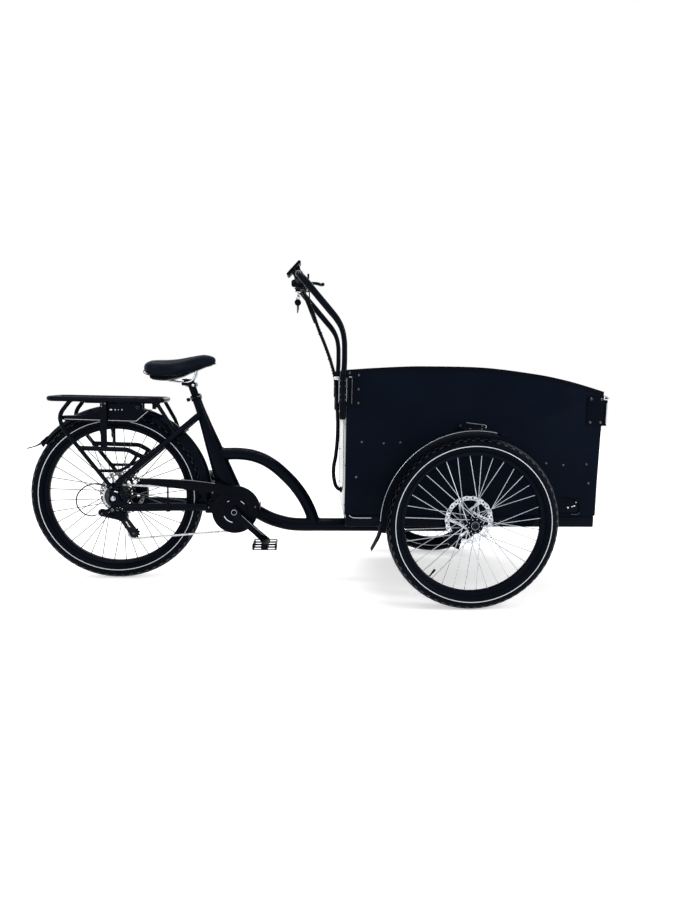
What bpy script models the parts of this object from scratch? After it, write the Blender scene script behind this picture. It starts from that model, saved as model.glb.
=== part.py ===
"""Electric cargo tricycle: one driven rear wheel, and a cargo box that steers with two front wheels.

Lengths are in metres. The bike is drawn with X forward from the rear axle, Y to its left and Z up
from the ground, and then hung on an empty that puts the middle of its footprint at the origin.
"""

import math

import bmesh
import bpy
from mathutils import Matrix, Vector

# Clearances
GAP = 0.0003            # between pieces that touch
CHAIN_RUN = 0.0012      # between the chain's underside and a disc that it runs round
RUNNING = 0.0010        # between a turning piece and what it passes

# Rear wheel
REAR_TYRE_R = 0.333
REAR_TYRE_WIDTH = 0.0535
REAR_TYRE_HEIGHT = 0.055
REAR_RIM_R = REAR_TYRE_R - REAR_TYRE_HEIGHT
REAR_HUB_HALF = 0.0675  # centre to the dropout's inner face
REAR_FLANGES = (0.033, -0.020)

# Front wheels
FRONT_TYRE_R = 0.3124
FRONT_TYRE_WIDTH = 0.060
FRONT_TYRE_HEIGHT = 0.0524
FRONT_RIM_R = FRONT_TYRE_R - FRONT_TYRE_HEIGHT
FRONT_AXLE_X = 1.340
BOX_HALF = 0.300        # half the cargo box's width
TRACK_HALF = BOX_HALF + 0.100
BEAM_HALF = BOX_HALF + 0.035    # centre of the bike to the end of the axle beam
FRONT_FLANGE = 0.032    # each side of the wheel's middle
FRONT_HUB_OUT = 0.0375

# What all wheels share
RIM_WIDTH = 0.030
RIM_DEPTH = 0.014
WHEEL_STEPS = 36
SPOKES = 36
SPOKE_R = 0.0013
SPOKE_CROSS = math.radians(60)
SPOKE_OFFSET = 0.0024   # spoke's distance from the middle of its flange
SPOKE_CIRCLE = 0.0235
FLANGE_R = 0.029
FLANGE_THICK = 0.0075    # both rows of spoke heads lie inside it
HUB_R = 0.017
HUB_SIDES = 12
DRIVE_NECK_R = 0.0135   # the rear hub's core inside the cassette
STUB_R = 0.010          # front stub axles
ROTOR_R = 0.090
ROTOR_THICK = 0.0018
ROTOR_SEAT_R = 0.0175   # hub boss that a rotor fits over

# Drive
CRANK_X = 0.462
CRANK_Z = 0.283
CRANK_LENGTH = 0.170
CRANK_DOWN = math.radians(42.6)  # right crank, below straight ahead
SPINDLE_R = 0.010
ARM_WIDTH = 0.038
ARM_THICK = 0.014
ARM_Y = 0.0825          # middle of a crank arm
LINK = 0.0127           # chain pitch
CHAIN_R = 0.0035
CHAINRING_TEETH = 40
COG_TEETH = (28, 24, 21, 18, 16, 14, 12)
DRIVE_COG = 1           # the chain runs on this cog of COG_TEETH
PULLEY_TEETH = 11
CHAIN_Y_REAR = -0.034
CHAIN_Y_FRONT = -0.050
CASSETTE_IN = -0.025
CASSETTE_OUT = -0.0615
UPPER_PULLEY = (0.020, -0.078)   # from the rear axle
LOWER_PULLEY = (0.065, -0.146)
PULLEY_BOLT_R = 0.003
GUARD_DISC_R = 0.090
GUARD_DISC_Y = -0.0565
PEDAL_LENGTH = 0.094
PEDAL_WIDTH = 0.082
PEDAL_THICK = 0.026
PEDAL_AXLE_R = 0.006
PEDAL_IN = 0.100        # pedal's inner side from the bike's middle

# Motor and frame tubes
MOTOR_R = 0.070
MOTOR_HALF = 0.043
YOKE_X = 0.340
YOKE_Z = (0.268, 0.318)
MAIN_TUBE_R = 0.027
MAIN_TUBE_Z = 0.216
MAIN_ROUTE = ((0.505, 0.292), (0.548, 0.267), (0.596, 0.242), (0.637, 0.228), (0.678, 0.219))
MAIN_STRAIGHT_X = 0.720
LOOP_TUBE_R = 0.0245
LOOP_ROUTE = (
    (0.386, 0.504), (0.4145, 0.504), (0.484, 0.504), (0.540, 0.494), (0.596, 0.468),
    (0.6525, 0.4225), (0.7105, 0.358), (0.753, 0.286), (0.777, 0.222),
)
STEER_X = 1.360
HEAD_TUBE_R = 0.025
HEAD_TUBE_Z = (0.165, 0.262)
KINGPIN_R = 0.014
SEAT_FOOT = Vector((0.3208, 0.0, 0.678))   # where the seat tube stops widening
SEAT_LEAN = Vector((-0.350, 0.0, 1.0)).normalized()
SEAT_TUBE_R = 0.0175
SEAT_TUBE_FOOT_X = 0.049      # half-length and half-width of its foot
SEAT_TUBE_FOOT_Y = 0.032
SEAT_TUBE_RISE = 0.045
SEAT_TUBE_SHAPE = (           # distance along it, then its length and width as shares of the foot's growth
    (SEAT_TUBE_RISE, 0.0, 0.0), (0.0, 0.0, 0.0), (-0.13, 0.36, 0.70), (-0.365, 1.0, 1.0),
)
COLLAR_R = 0.0210
COLLAR_HEIGHT = 0.022
CHAINSTAY_R = 0.0158
CHAINSTAY_Z = 0.2975
CHAINSTAY_Y = 0.0705
SEATSTAY_R = 0.012
DROPOUT_THICK = 0.008

# Seat
POST_R = 0.0145
POST_BOTTOM = -0.115    # along the seat tube from SEAT_FOOT
POST_TOP = 0.112
BORE_BOTTOM = -0.200
RAIL_R = 0.0035
RAIL_Y = 0.0215
RAIL_Z = 0.7895
HEAD_HALF = 0.026

# Rear fender and rack
FENDER_CENTRE = (0.010, 0.003)   # from the rear axle
REAR_FENDER_R = REAR_TYRE_R + 0.024
REAR_FENDER_ARC = (math.radians(8.6), math.radians(146.3))
BRIDGE_ANGLE = math.radians(45.6)    # the rod that holds it between the seat stays
FLAP_REACH = (-0.0686, -0.0330)      # flap's tip from its root on the fender
REAR_FENDER_HALF = 0.030
FENDER_THICK = 0.0024
DECK_Z = REAR_TYRE_R + FENDER_CENTRE[1] + REAR_FENDER_R + 0.022
DECK_R = 0.010
DECK_Y = 0.075
DECK_X = (-0.237, 0.196)
DECK_CORNER = 0.030
SLAT_X = (-0.130, -0.027, 0.085)
RACK_LEG_Y = 0.0855
RACK_LEG_R = 0.006
PANNIER_R = 0.008
BATTERY_X = (-0.190, 0.125)
BATTERY_Y = (-0.0755, -0.0345)
BATTERY_Z = (DECK_Z - 0.085, DECK_Z - 0.015)

# Cargo box
PANEL = 0.012
BOX_REAR_X = 0.885
BOX_FRONT_X = 1.840
RAIL_BOTTOM = 0.276
RAIL_TOP = 0.320
RAIL_SETBACK = 0.004
RAIL_WIDTH = 0.030
REAR_TOP = 0.846
FRONT_TOP = 0.789
SIDE_TOP = (
    (0.885, 0.846), (0.931, 0.852), (1.003, 0.858), (1.075, 0.863), (1.169, 0.867),
    (1.381, 0.867), (1.568, 0.844), (1.669, 0.832), (1.746, 0.815), (1.840, 0.789),
)
BENCH_THICK = 0.012
BENCH_HINGE_IN = 0.008  # bench hinges from the wall behind them
REAR_BENCH_Z = 0.588
REAR_BENCH_LENGTH = 0.240
FRONT_BENCH_Z = 0.516
FRONT_BENCH_LENGTH = 0.215
CLEAT = 0.018
BEAM_X = (1.310, 1.370)
BEAM_Z = (0.284, 0.319)
LAMP_X = (1.686, 1.776)
LAMP_Z = (0.328, 0.393)
POCKET_DEPTH = 0.006
PLATE_THICK = 0.003

# Front fenders
FRONT_FENDER_R = FRONT_TYRE_R + 0.0246
FRONT_FENDER_EDGE_R = FRONT_TYRE_R + 0.0056
FRONT_FENDER_HALF = 0.035
FRONT_FENDER_ARC = (math.radians(75), math.radians(185))

# Handlebar
BAR_R = 0.0125
BAR_X = BOX_REAR_X - 0.013
BAR_Y = BOX_HALF - 0.003
BAR_FOOT_Z = 0.679
CROSSBAR_X = BAR_X - 0.165
CROSSBAR_Z = 1.183
BAR_SIDE_ROUTE = (      # back from the clamp, and height
    (0.0, 0.915), (0.002, 0.955), (0.010, 0.992), (0.026, 1.024), (0.052, 1.056),
    (0.112, 1.124), (0.135, 1.150),
)
BAR_BEND = (            # from the crossbar, inward from the upright, and below the crossbar
    (0.011, 0.010, 0.012), (0.002, 0.029, 0.002), (0.0, 0.047, 0.0),
)
GRIP_R = 0.0165
GRIP_Y = (BAR_Y - 0.172, BAR_Y - 0.054)
MOUNT_Y = (0.090, 0.113)
LEVER_PIVOT = (CROSSBAR_X + 0.035, 0.1015, CROSSBAR_Z - 0.011)
LEVER_PIN_R = 0.0025
CLAMP_R = 0.0185        # clamps round the crossbar
SHIFTER_Y = (-0.066, -0.0885)
SHIFTER_DROP = 0.026
KEY_X = CROSSBAR_X - 0.007
SWITCH_BOTTOM = CROSSBAR_Z - 0.036
LOOM_R = 0.0065
LOOM_TOP = (CROSSBAR_X + 0.015, CROSSBAR_Z - 0.025)
LOOM_ROUTE = (
    (0.724, 1.143), (0.737, 1.118), (0.756, 1.081), (0.781, 1.012), (0.809, 0.946), (0.834, 0.879),
    (0.851, 0.816), (0.860, 0.728), (0.866, 0.606), (0.860, 0.504), (0.852, 0.451), (0.855, 0.403),
    (0.866, 0.372),
)
GROMMET_Z = 0.362

# Ends that set the footprint's middle
FLAP_ROOT_ANGLE = REAR_FENDER_ARC[1] - 0.06
FLAP_ROOT = (
    FENDER_CENTRE[0] + (REAR_FENDER_R - 0.004) * math.cos(FLAP_ROOT_ANGLE),
    REAR_TYRE_R + FENDER_CENTRE[1] + (REAR_FENDER_R - 0.004) * math.sin(FLAP_ROOT_ANGLE),
)
FLAP_TIP = (FLAP_ROOT[0] + FLAP_REACH[0], FLAP_ROOT[1] + FLAP_REACH[1])
NUB_X = BOX_FRONT_X + 0.025
MIDDLE_X = (FLAP_TIP[0] + NUB_X) / 2

# Finishes: base colour, roughness, metallic
BLACK_PAINT = ((0.012, 0.013, 0.015), 0.35, 0.0)
SATIN_BLACK = ((0.018, 0.019, 0.021), 0.50, 0.2)
BLACK_PANEL = ((0.020, 0.022, 0.026), 0.55, 0.0)
BLACK_PLASTIC = ((0.022, 0.022, 0.024), 0.60, 0.0)
RUBBER = ((0.020, 0.020, 0.021), 0.85, 0.0)
STEEL = ((0.50, 0.51, 0.52), 0.30, 1.0)
SADDLE_COVER = ((0.016, 0.017, 0.020), 0.55, 0.0)
CHAIN_STEEL = ((0.30, 0.30, 0.31), 0.40, 1.0)


def pitch_radius(teeth):
    return LINK / (2 * math.sin(math.pi / teeth))


def bore(radius, sides):
    """Corner radius of a round hole drawn with `sides` flats that clears `radius` by GAP."""
    return (radius + GAP) / math.cos(math.pi / sides)


def mirrored(points):
    """The same points on the other side of the bike."""
    return [(x, -y, z) for x, y, z in points]


# Scene and construction helpers

def clear_scene():
    for obj in list(bpy.data.objects):
        bpy.data.objects.remove(obj, do_unlink=True)


def new_collection(name):
    collection = bpy.data.collections.new(name)
    bpy.context.scene.collection.children.link(collection)
    return collection


clear_scene()
PARTS = new_collection("cargo_tricycle")
CUTTERS = new_collection("cutters")
ROOT = bpy.data.objects.new("bike_frame", None)
ROOT.location.x = -MIDDLE_X
PARTS.objects.link(ROOT)


def workpiece(data):
    """A shape under construction, kept with the cutters until it becomes a part."""
    obj = bpy.data.objects.new("workpiece", data)
    obj.display_type = "WIRE"
    obj.hide_render = True
    CUTTERS.objects.link(obj)
    return obj


def from_bmesh(bm):
    bmesh.ops.recalc_face_normals(bm, faces=bm.faces)
    mesh = bpy.data.meshes.new("workpiece")
    bm.to_mesh(mesh)
    bm.free()
    return workpiece(mesh)


def settle(obj):
    """The object as a plain mesh in world space, with its modifiers and its transform applied."""
    bpy.context.view_layer.update()
    evaluated = obj.evaluated_get(bpy.context.evaluated_depsgraph_get())
    mesh = bpy.data.meshes.new_from_object(evaluated)
    mesh.transform(obj.matrix_world)
    bpy.data.objects.remove(obj, do_unlink=True)
    bm = bmesh.new()
    bm.from_mesh(mesh)
    bpy.data.meshes.remove(mesh)
    bmesh.ops.remove_doubles(bm, verts=bm.verts, dist=0.00001)
    return from_bmesh(bm)


def combine(base, tools, operation):
    for tool in tools:
        boolean = base.modifiers.new(operation.title(), "BOOLEAN")
        boolean.operation = operation
        boolean.solver = "EXACT"
        boolean.object = tool
    result = settle(base)
    for tool in tools:
        bpy.data.objects.remove(tool, do_unlink=True)
    return result


def fuse(base, *tools):
    return combine(base, tools, "UNION")


def cut(base, *tools):
    return combine(base, tools, "DIFFERENCE")


def gather(*shapes):
    """Shapes that don't touch each other, as one mesh for a later Boolean."""
    bm = bmesh.new()
    for shape in shapes:
        bm.from_mesh(shape.data)
        bpy.data.objects.remove(shape, do_unlink=True)
    mesh = bpy.data.meshes.new("workpiece")
    bm.to_mesh(mesh)
    bm.free()
    return workpiece(mesh)


def box(x, y, z):
    """A block between two values on each axis."""
    lo = Vector((min(x), min(y), min(z)))
    hi = Vector((max(x), max(y), max(z)))
    bm = bmesh.new()
    bmesh.ops.create_cube(bm, size=1.0)
    bmesh.ops.scale(bm, vec=hi - lo, verts=bm.verts)
    bmesh.ops.translate(bm, vec=(lo + hi) / 2, verts=bm.verts)
    return from_bmesh(bm)


def rod(start, end, radius, end_radius=None, sides=12):
    """A round bar between two points, tapered if end_radius is given."""
    start, end = Vector(start), Vector(end)
    along = end - start
    turn = along.to_track_quat("Z", "Y").to_matrix().to_4x4()
    bm = bmesh.new()
    bmesh.ops.create_cone(
        bm, cap_ends=True, segments=sides, radius1=radius,
        radius2=radius if end_radius is None else end_radius, depth=along.length,
        matrix=Matrix.Translation((start + end) / 2) @ turn,
    )
    return from_bmesh(bm)


def slat(start, end, y, width):
    """A flat bar between two (x, z) points, `width` across its face and between two y values."""
    a, b = Vector((start[0], 0, start[1])), Vector((end[0], 0, end[1]))
    bm = bmesh.new()
    bmesh.ops.create_cube(bm, size=1.0)
    bmesh.ops.scale(bm, vec=((b - a).length, abs(y[1] - y[0]), width), verts=bm.verts)
    angle = -math.atan2(b.z - a.z, b.x - a.x)
    bmesh.ops.rotate(bm, cent=(0, 0, 0), matrix=Matrix.Rotation(angle, 3, "Y"), verts=bm.verts)
    middle = (a + b) / 2
    bmesh.ops.translate(bm, vec=(middle.x, (y[0] + y[1]) / 2, middle.z), verts=bm.verts)
    return from_bmesh(bm)


def profile_mesh(points, closed, start_angle=0.0):
    """A turned shape's profile of (y, radius) points, standing at an angle about the local Z axis."""
    mesh = bpy.data.meshes.new("profile")
    cos, sin = math.cos(start_angle), math.sin(start_angle)
    edges = [(i, i + 1) for i in range(len(points) - 1)]
    if closed:
        edges.append((len(points) - 1, 0))
    mesh.from_pydata([(r * cos, r * sin, y) for y, r in points], edges, [])
    return workpiece(mesh)


def screw(obj, steps, angle=math.tau):
    modifier = obj.modifiers.new("Screw", "SCREW")
    modifier.angle = angle
    modifier.steps = modifier.render_steps = steps
    modifier.use_merge_vertices = angle == math.tau
    modifier.merge_threshold = 0.00001


def turned(points, at, steps, closed=False):
    """A body turned about a line along Y through `at`, from (y, radius) points listed from +y to -y."""
    obj = profile_mesh(points, closed)
    screw(obj, steps)
    obj.rotation_euler.x = -math.pi / 2
    obj.location = at
    return settle(obj)


def arc_shell(points, at, arc, steps, thickness):
    """A curved strip about a line along Y: an open (y, radius) profile swept over an arc, then thickened."""
    obj = profile_mesh(points, False, start_angle=-arc[1])
    screw(obj, steps, arc[1] - arc[0])
    solidify = obj.modifiers.new("Solidify", "SOLIDIFY")
    solidify.thickness = thickness
    solidify.offset = 0.0
    obj.rotation_euler.x = -math.pi / 2
    obj.location = at
    return settle(obj)


def tube(points, radius, sides=8, cyclic=False):
    """A round tube along a list of points; 8, 10 or 12 sides."""
    curve = bpy.data.curves.new("tube", "CURVE")
    curve.dimensions = "3D"
    curve.bevel_depth = radius
    curve.bevel_resolution = sides // 2 - 2
    curve.use_fill_caps = True
    spline = curve.splines.new("POLY")
    spline.points.add(len(points) - 1)
    for point, place in zip(spline.points, points):
        point.co = (*place, 1.0)
    spline.use_cyclic_u = cyclic
    return settle(workpiece(curve))


def smooth(points, per_span):
    """Points on one smooth curve through the given ones (Catmull-Rom)."""
    places = [Vector(p) for p in points]
    ends = [2 * places[0] - places[1], *places, 2 * places[-1] - places[-2]]
    path = []
    for a, b, c, d in zip(ends, ends[1:], ends[2:], ends[3:]):
        for step in range(per_span):
            t = step / per_span
            path.append(0.5 * (
                2 * b + (c - a) * t + (2 * a - 5 * b + 4 * c - d) * t ** 2
                + (3 * b - a - 3 * c + d) * t ** 3
            ))
    return [*path, places[-1]]


def on_plane(route, y=0.0):
    return [(x, y, z) for x, z in route]


def plate(outlines, y):
    """A flat piece between two y values: an outline of (x, z) points, and any holes in it."""
    curve = bpy.data.curves.new("plate", "CURVE")
    curve.dimensions = "2D"
    curve.fill_mode = "BOTH"
    curve.extrude = abs(y[1] - y[0]) / 2
    for outline in outlines:
        spline = curve.splines.new("POLY")
        spline.points.add(len(outline) - 1)
        for point, (x, z) in zip(spline.points, outline):
            point.co = (x, z, 0.0, 1.0)
        spline.use_cyclic_u = True
    obj = workpiece(curve)
    obj.rotation_euler.x = math.pi / 2
    obj.location.y = (y[0] + y[1]) / 2
    return settle(obj)


def circle(centre, radius, sides, start=0.0):
    return arc_points(centre, radius, start, start + math.tau * (sides - 1) / sides, sides)


def arc_points(centre, radius, start, end, count):
    angles = [start + (end - start) * i / (count - 1) for i in range(count)]
    return [(centre[0] + radius * math.cos(a), centre[1] + radius * math.sin(a)) for a in angles]


def link_outline(a, b, radius_a, radius_b, count=7):
    """Outline of a flat link with round ends about two (x, z) points."""
    heading = math.atan2(b[1] - a[1], b[0] - a[0])
    quarter = math.pi / 2
    far = arc_points(b, radius_b, heading - quarter, heading + quarter, count)
    return far + arc_points(a, radius_a, heading + quarter, heading + 3 * quarter, count)


def loft(rings, split=False):
    """A closed body through rings of equal point counts; `split` fixes how its uneven faces divide."""
    bm = bmesh.new()
    loops = [[bm.verts.new(p) for p in ring] for ring in rings]
    for near, far in zip(loops, loops[1:]):
        for i in range(len(near)):
            j = (i + 1) % len(near)
            bm.faces.new((near[i], near[j], far[j], far[i]))
    bm.faces.new(loops[0])
    bm.faces.new(loops[-1])
    if split:
        bmesh.ops.triangulate(bm, faces=bm.faces, quad_method="FIXED")
    return from_bmesh(bm)


def finish_part(name, shape, finish, origin=(0.0, 0.0, 0.0)):
    """Name a shape, give it its material, put its origin in place and hang it on the bike."""
    colour, roughness, metallic = finish
    material = bpy.data.materials.new(name + "_finish")
    material.use_nodes = True
    surface = material.node_tree.nodes["Principled BSDF"]
    surface.inputs["Base Color"].default_value = (*colour, 1.0)
    surface.inputs["Roughness"].default_value = roughness
    surface.inputs["Metallic"].default_value = metallic
    shape.name = name
    shape.data.name = name
    shape.data.materials.clear()
    shape.data.materials.append(material)
    shape.data.transform(Matrix.Translation(-Vector(origin)))
    shape.data.shade_smooth()
    shape.data.set_sharp_from_angle(angle=math.radians(30))
    shape.location = origin
    shape.parent = ROOT
    shape.display_type = "TEXTURED"
    shape.hide_render = False
    CUTTERS.objects.unlink(shape)
    PARTS.objects.link(shape)
    return shape


# Places that several pieces share

REAR_AXLE = Vector((0.0, 0.0, REAR_TYRE_R))
CRANK = Vector((CRANK_X, 0.0, CRANK_Z))
PEDAL_REACH = Vector((math.cos(CRANK_DOWN), 0.0, -math.sin(CRANK_DOWN))) * CRANK_LENGTH
DISC_SINK = CHAIN_R + CHAIN_RUN    # a toothed disc is drawn this far inside its pitch circle
ROTOR_Y = 0.0503                   # rear rotor's inner face
FRONT_ROTOR_Y = 0.0600             # front rotor's middle, inward of the wheel's middle
COLLAR_FOOT = SEAT_TUBE_RISE - 0.004


def front_axle(side):
    return Vector((FRONT_AXLE_X, side * TRACK_HALF, FRONT_TYRE_R))


def up_seat(distance):
    """A point on the seat tube's axis."""
    return SEAT_FOOT + SEAT_LEAN * distance


# Wheels

def tyre(name, axle, radius, width, rim_radius):
    seat = rim_radius + GAP
    height = radius - seat
    half = width / 2
    side = ((RIM_WIDTH / 2, 0.0), (half, 0.45), (0.72 * half, 0.86))
    profile = [(y, seat + height * share) for y, share in side]
    profile += [(0.0, radius)] + [(-y, r) for y, r in reversed(profile)]
    shape = turned(profile, axle, WHEEL_STEPS, closed=True)
    return finish_part(name, shape, RUBBER, axle)


def spokes(axle, flanges, rim_radius):
    """All spokes of a wheel, crossing their neighbours without touching them."""
    bars = []
    end_r = rim_radius - RIM_DEPTH / 2
    for i in range(SPOKES):
        flange = flanges[i % 2]
        lean = 1 if (i // 2) % 2 else -1
        at_rim = math.tau * (i + 0.5) / SPOKES
        at_hub = at_rim + lean * SPOKE_CROSS
        head_y = flange + lean * SPOKE_OFFSET
        start = (SPOKE_CIRCLE * math.cos(at_hub), head_y, SPOKE_CIRCLE * math.sin(at_hub))
        end = (end_r * math.cos(at_rim), lean * SPOKE_OFFSET / 2, end_r * math.sin(at_rim))
        bars.append(rod(axle + Vector(start), axle + Vector(end), SPOKE_R, sides=3))
    return gather(*bars)


def wheel(name, axle, hub_profile, hub_closed, flanges, rim_radius):
    """Rim, hub and spokes as the one piece that they are laced into."""
    half = RIM_WIDTH / 2
    inner = rim_radius - RIM_DEPTH
    rim = turned(
        ((half, rim_radius), (-half, rim_radius), (-half * 0.7, inner), (half * 0.7, inner)),
        axle, WHEEL_STEPS, closed=True,
    )
    hub = turned(hub_profile, axle, HUB_SIDES, closed=hub_closed)
    shape = fuse(gather(rim, hub), spokes(axle, flanges, rim_radius))
    return finish_part(name, shape, SATIN_BLACK, axle)


def rotor(name, centre, seat_radius):
    """A brake disc about a line along Y, with windows between its arms."""
    middle = (centre.x, centre.z)
    outlines = [circle(middle, ROTOR_R, 26)]
    windows = 5
    for k in range(windows):
        start = math.tau * k / windows + 0.17
        end = math.tau * (k + 1) / windows - 0.17
        outer = arc_points(middle, ROTOR_R - 0.018, start, end, 4)
        inner = arc_points(middle, seat_radius + 0.016, end - 0.18, start + 0.18, 2)
        outlines.append(outer + inner)
    outlines.append(circle(middle, bore(seat_radius, 12), 12))
    half = ROTOR_THICK / 2
    shape = plate(outlines, (centre.y - half, centre.y + half))
    return finish_part(name, shape, STEEL, centre)


def rear_hub_profile():
    """Hub with the rotor's boss on the left and the cassette's core on the right."""
    end = REAR_HUB_HALF - GAP
    left, right = REAR_FLANGES
    half = FLANGE_THICK / 2
    boss = ROTOR_Y - GAP
    return (
        (end, 0.0), (end, 0.008), (boss + 0.0045, 0.008), (boss + 0.0045, ROTOR_SEAT_R),
        (boss, ROTOR_SEAT_R), (boss, 0.023), (left + half, 0.023), (left + half, FLANGE_R),
        (left - half, FLANGE_R), (left - half - 0.004, HUB_R), (right + half + 0.004, HUB_R),
        (right + half, FLANGE_R), (right - half, FLANGE_R), (right - half, DRIVE_NECK_R),
        (-end, DRIVE_NECK_R), (-end, 0.0),
    )


def front_hub_profile(side):
    """Hub bored for its stub axle, with the rotor's boss towards the box."""
    hole = bore(STUB_R, HUB_SIDES)
    half = FLANGE_THICK / 2
    inner = TRACK_HALF - BEAM_HALF - GAP
    boss = FRONT_ROTOR_Y - ROTOR_THICK / 2 - GAP
    points = [
        (FRONT_HUB_OUT, hole), (FRONT_HUB_OUT, 0.016), (FRONT_FLANGE + half, 0.018),
        (FRONT_FLANGE + half, FLANGE_R), (FRONT_FLANGE - half, FLANGE_R),
        (FRONT_FLANGE - half - 0.004, HUB_R), (-FRONT_FLANGE + half + 0.004, HUB_R),
        (-FRONT_FLANGE + half, FLANGE_R), (-FRONT_FLANGE - half, FLANGE_R),
        (-FRONT_FLANGE - half, 0.022), (-boss, 0.022), (-boss, ROTOR_SEAT_R),
        (-inner, ROTOR_SEAT_R), (-inner, hole),
    ]
    return points if side > 0 else [(-y, r) for y, r in reversed(points)]


def build_wheels():
    tyre("rear_tyre", REAR_AXLE, REAR_TYRE_R, REAR_TYRE_WIDTH, REAR_RIM_R)
    wheel("rear_wheel", REAR_AXLE, rear_hub_profile(), False, REAR_FLANGES, REAR_RIM_R)
    rotor("rear_rotor", REAR_AXLE + Vector((0, ROTOR_Y + ROTOR_THICK / 2, 0)), ROTOR_SEAT_R)
    for word, side in (("left", 1), ("right", -1)):
        axle = front_axle(side)
        tyre("front_tyre_" + word, axle, FRONT_TYRE_R, FRONT_TYRE_WIDTH, FRONT_RIM_R)
        wheel(
            "front_wheel_" + word, axle, front_hub_profile(side), True,
            (FRONT_FLANGE, -FRONT_FLANGE), FRONT_RIM_R,
        )
        rotor("front_rotor_" + word, axle - Vector((0, side * FRONT_ROTOR_Y, 0)), ROTOR_SEAT_R)


# Drive

def cog_profile():
    """The cassette's steps, bored for the hub's core; the chain's cog is wide enough for the chain."""
    hole = bore(DRIVE_NECK_R, 16)
    edges = [CASSETTE_IN, CHAIN_Y_REAR + CHAIN_R + GAP + GAP, CHAIN_Y_REAR - CHAIN_R - GAP]
    rest = len(COG_TEETH) - len(edges) + 1
    step = (CASSETTE_OUT - edges[-1]) / rest
    edges += [edges[-1] + step * (i + 1) for i in range(rest)]
    points = [(edges[0], hole)]
    for teeth, inner, outer in zip(COG_TEETH, edges, edges[1:]):
        radius = pitch_radius(teeth) - DISC_SINK
        points += [(inner, radius), (outer, radius)]
    return points + [(edges[-1], hole)]


def run_of_chain():
    """The chain's closed path: round the chainring, the drive cog and both pulleys."""
    drive = COG_TEETH[DRIVE_COG]
    upper = (UPPER_PULLEY[0], REAR_TYRE_R + UPPER_PULLEY[1])
    lower = (LOWER_PULLEY[0], REAR_TYRE_R + LOWER_PULLEY[1])
    wheels = (
        ((CRANK_X, CRANK_Z), pitch_radius(CHAINRING_TEETH), -1, CHAIN_Y_FRONT, 11),
        (lower, pitch_radius(PULLEY_TEETH), -1, CHAIN_Y_REAR, 5),
        (upper, pitch_radius(PULLEY_TEETH), 1, CHAIN_Y_REAR, 4),
        ((0.0, REAR_TYRE_R), pitch_radius(drive), -1, CHAIN_Y_REAR, 9),
    )
    headings = []
    for first, second in zip(wheels, wheels[1:] + wheels[:1]):
        dx, dz = second[0][0] - first[0][0], second[0][1] - first[0][1]
        spread = first[1] * first[2] - second[1] * second[2]
        straight = math.sqrt(dx * dx + dz * dz - spread * spread)
        headings.append(math.atan2(dz, dx) + math.atan2(spread, straight))
    path = []
    for i, (centre, radius, sense, y, count) in enumerate(wheels):
        start = headings[i - 1] - sense * math.pi / 2
        end = headings[i] - sense * math.pi / 2
        while sense * (end - start) < 0:
            end += sense * math.tau
        while sense * (end - start) > math.tau:
            end -= sense * math.tau
        path += [(x, y, z) for x, z in arc_points(centre, radius, start, end, count)]
    return path


def build_chainring():
    hole = bore(SPINDLE_R, 26)
    teeth = pitch_radius(CHAINRING_TEETH) - DISC_SINK
    inner = CHAIN_Y_FRONT + 0.0025
    outer = CHAIN_Y_FRONT - 0.0025
    disc = GUARD_DISC_Y - 0.0025
    profile = (
        (inner, hole), (inner, teeth), (outer, teeth), (outer, teeth - 0.007),
        (GUARD_DISC_Y, teeth - 0.007), (GUARD_DISC_Y, GUARD_DISC_R), (disc, GUARD_DISC_R),
        (disc, 0.048), (disc - 0.004, 0.045), (disc - 0.004, hole),
    )
    shape = turned(profile, CRANK, 26, closed=True)
    finish_part("chainring", shape, BLACK_PLASTIC, CRANK)


def build_crank_arms():
    """Spindle, both arms and both pedal axles: they turn as one."""
    shape = rod(CRANK + Vector((0, -ARM_Y, 0)), CRANK + Vector((0, ARM_Y, 0)), SPINDLE_R, sides=16)
    for side in (-1, 1):
        reach = PEDAL_REACH if side < 0 else -PEDAL_REACH
        faces = (side * (ARM_Y - ARM_THICK / 2), side * (ARM_Y + ARM_THICK / 2))
        tip = CRANK + reach
        outline = link_outline((CRANK.x, CRANK.z), (tip.x, tip.z), ARM_WIDTH / 2, ARM_WIDTH * 0.42)
        arm = plate([outline], faces)
        end_y = side * (PEDAL_IN + PEDAL_WIDTH - 0.004)
        axle = rod((tip.x, side * ARM_Y, tip.z), (tip.x, end_y, tip.z), PEDAL_AXLE_R)
        shape = fuse(shape, arm, axle)
    finish_part("crank_arms", shape, SATIN_BLACK, CRANK)


def build_pedals():
    for word, side in (("left", 1), ("right", -1)):
        centre = CRANK + (PEDAL_REACH if side < 0 else -PEDAL_REACH)
        ends = (side * PEDAL_IN, side * (PEDAL_IN + PEDAL_WIDTH))
        body = box(
            (centre.x - PEDAL_LENGTH / 2, centre.x + PEDAL_LENGTH / 2), ends,
            (centre.z - PEDAL_THICK / 2, centre.z + PEDAL_THICK / 2),
        )
        slots = []
        for along in (-1, 1):
            x = (centre.x + along * 0.014, centre.x + along * 0.034)
            for inner in (0.010, 0.046):
                y = (side * (PEDAL_IN + inner), side * (PEDAL_IN + inner + 0.026))
                slots.append(box(x, y, (centre.z - PEDAL_THICK, centre.z + PEDAL_THICK)))
        hole_r = bore(PEDAL_AXLE_R, 12)
        hole = rod(
            (centre.x, side * (PEDAL_IN - 0.01), centre.z),
            (centre.x, side * (PEDAL_IN + PEDAL_WIDTH - 0.003), centre.z), hole_r,
        )
        shape = cut(body, gather(*slots), hole)
        origin = (centre.x, side * PEDAL_IN, centre.z)
        finish_part("pedal_" + word, shape, BLACK_PLASTIC, origin)


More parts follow.
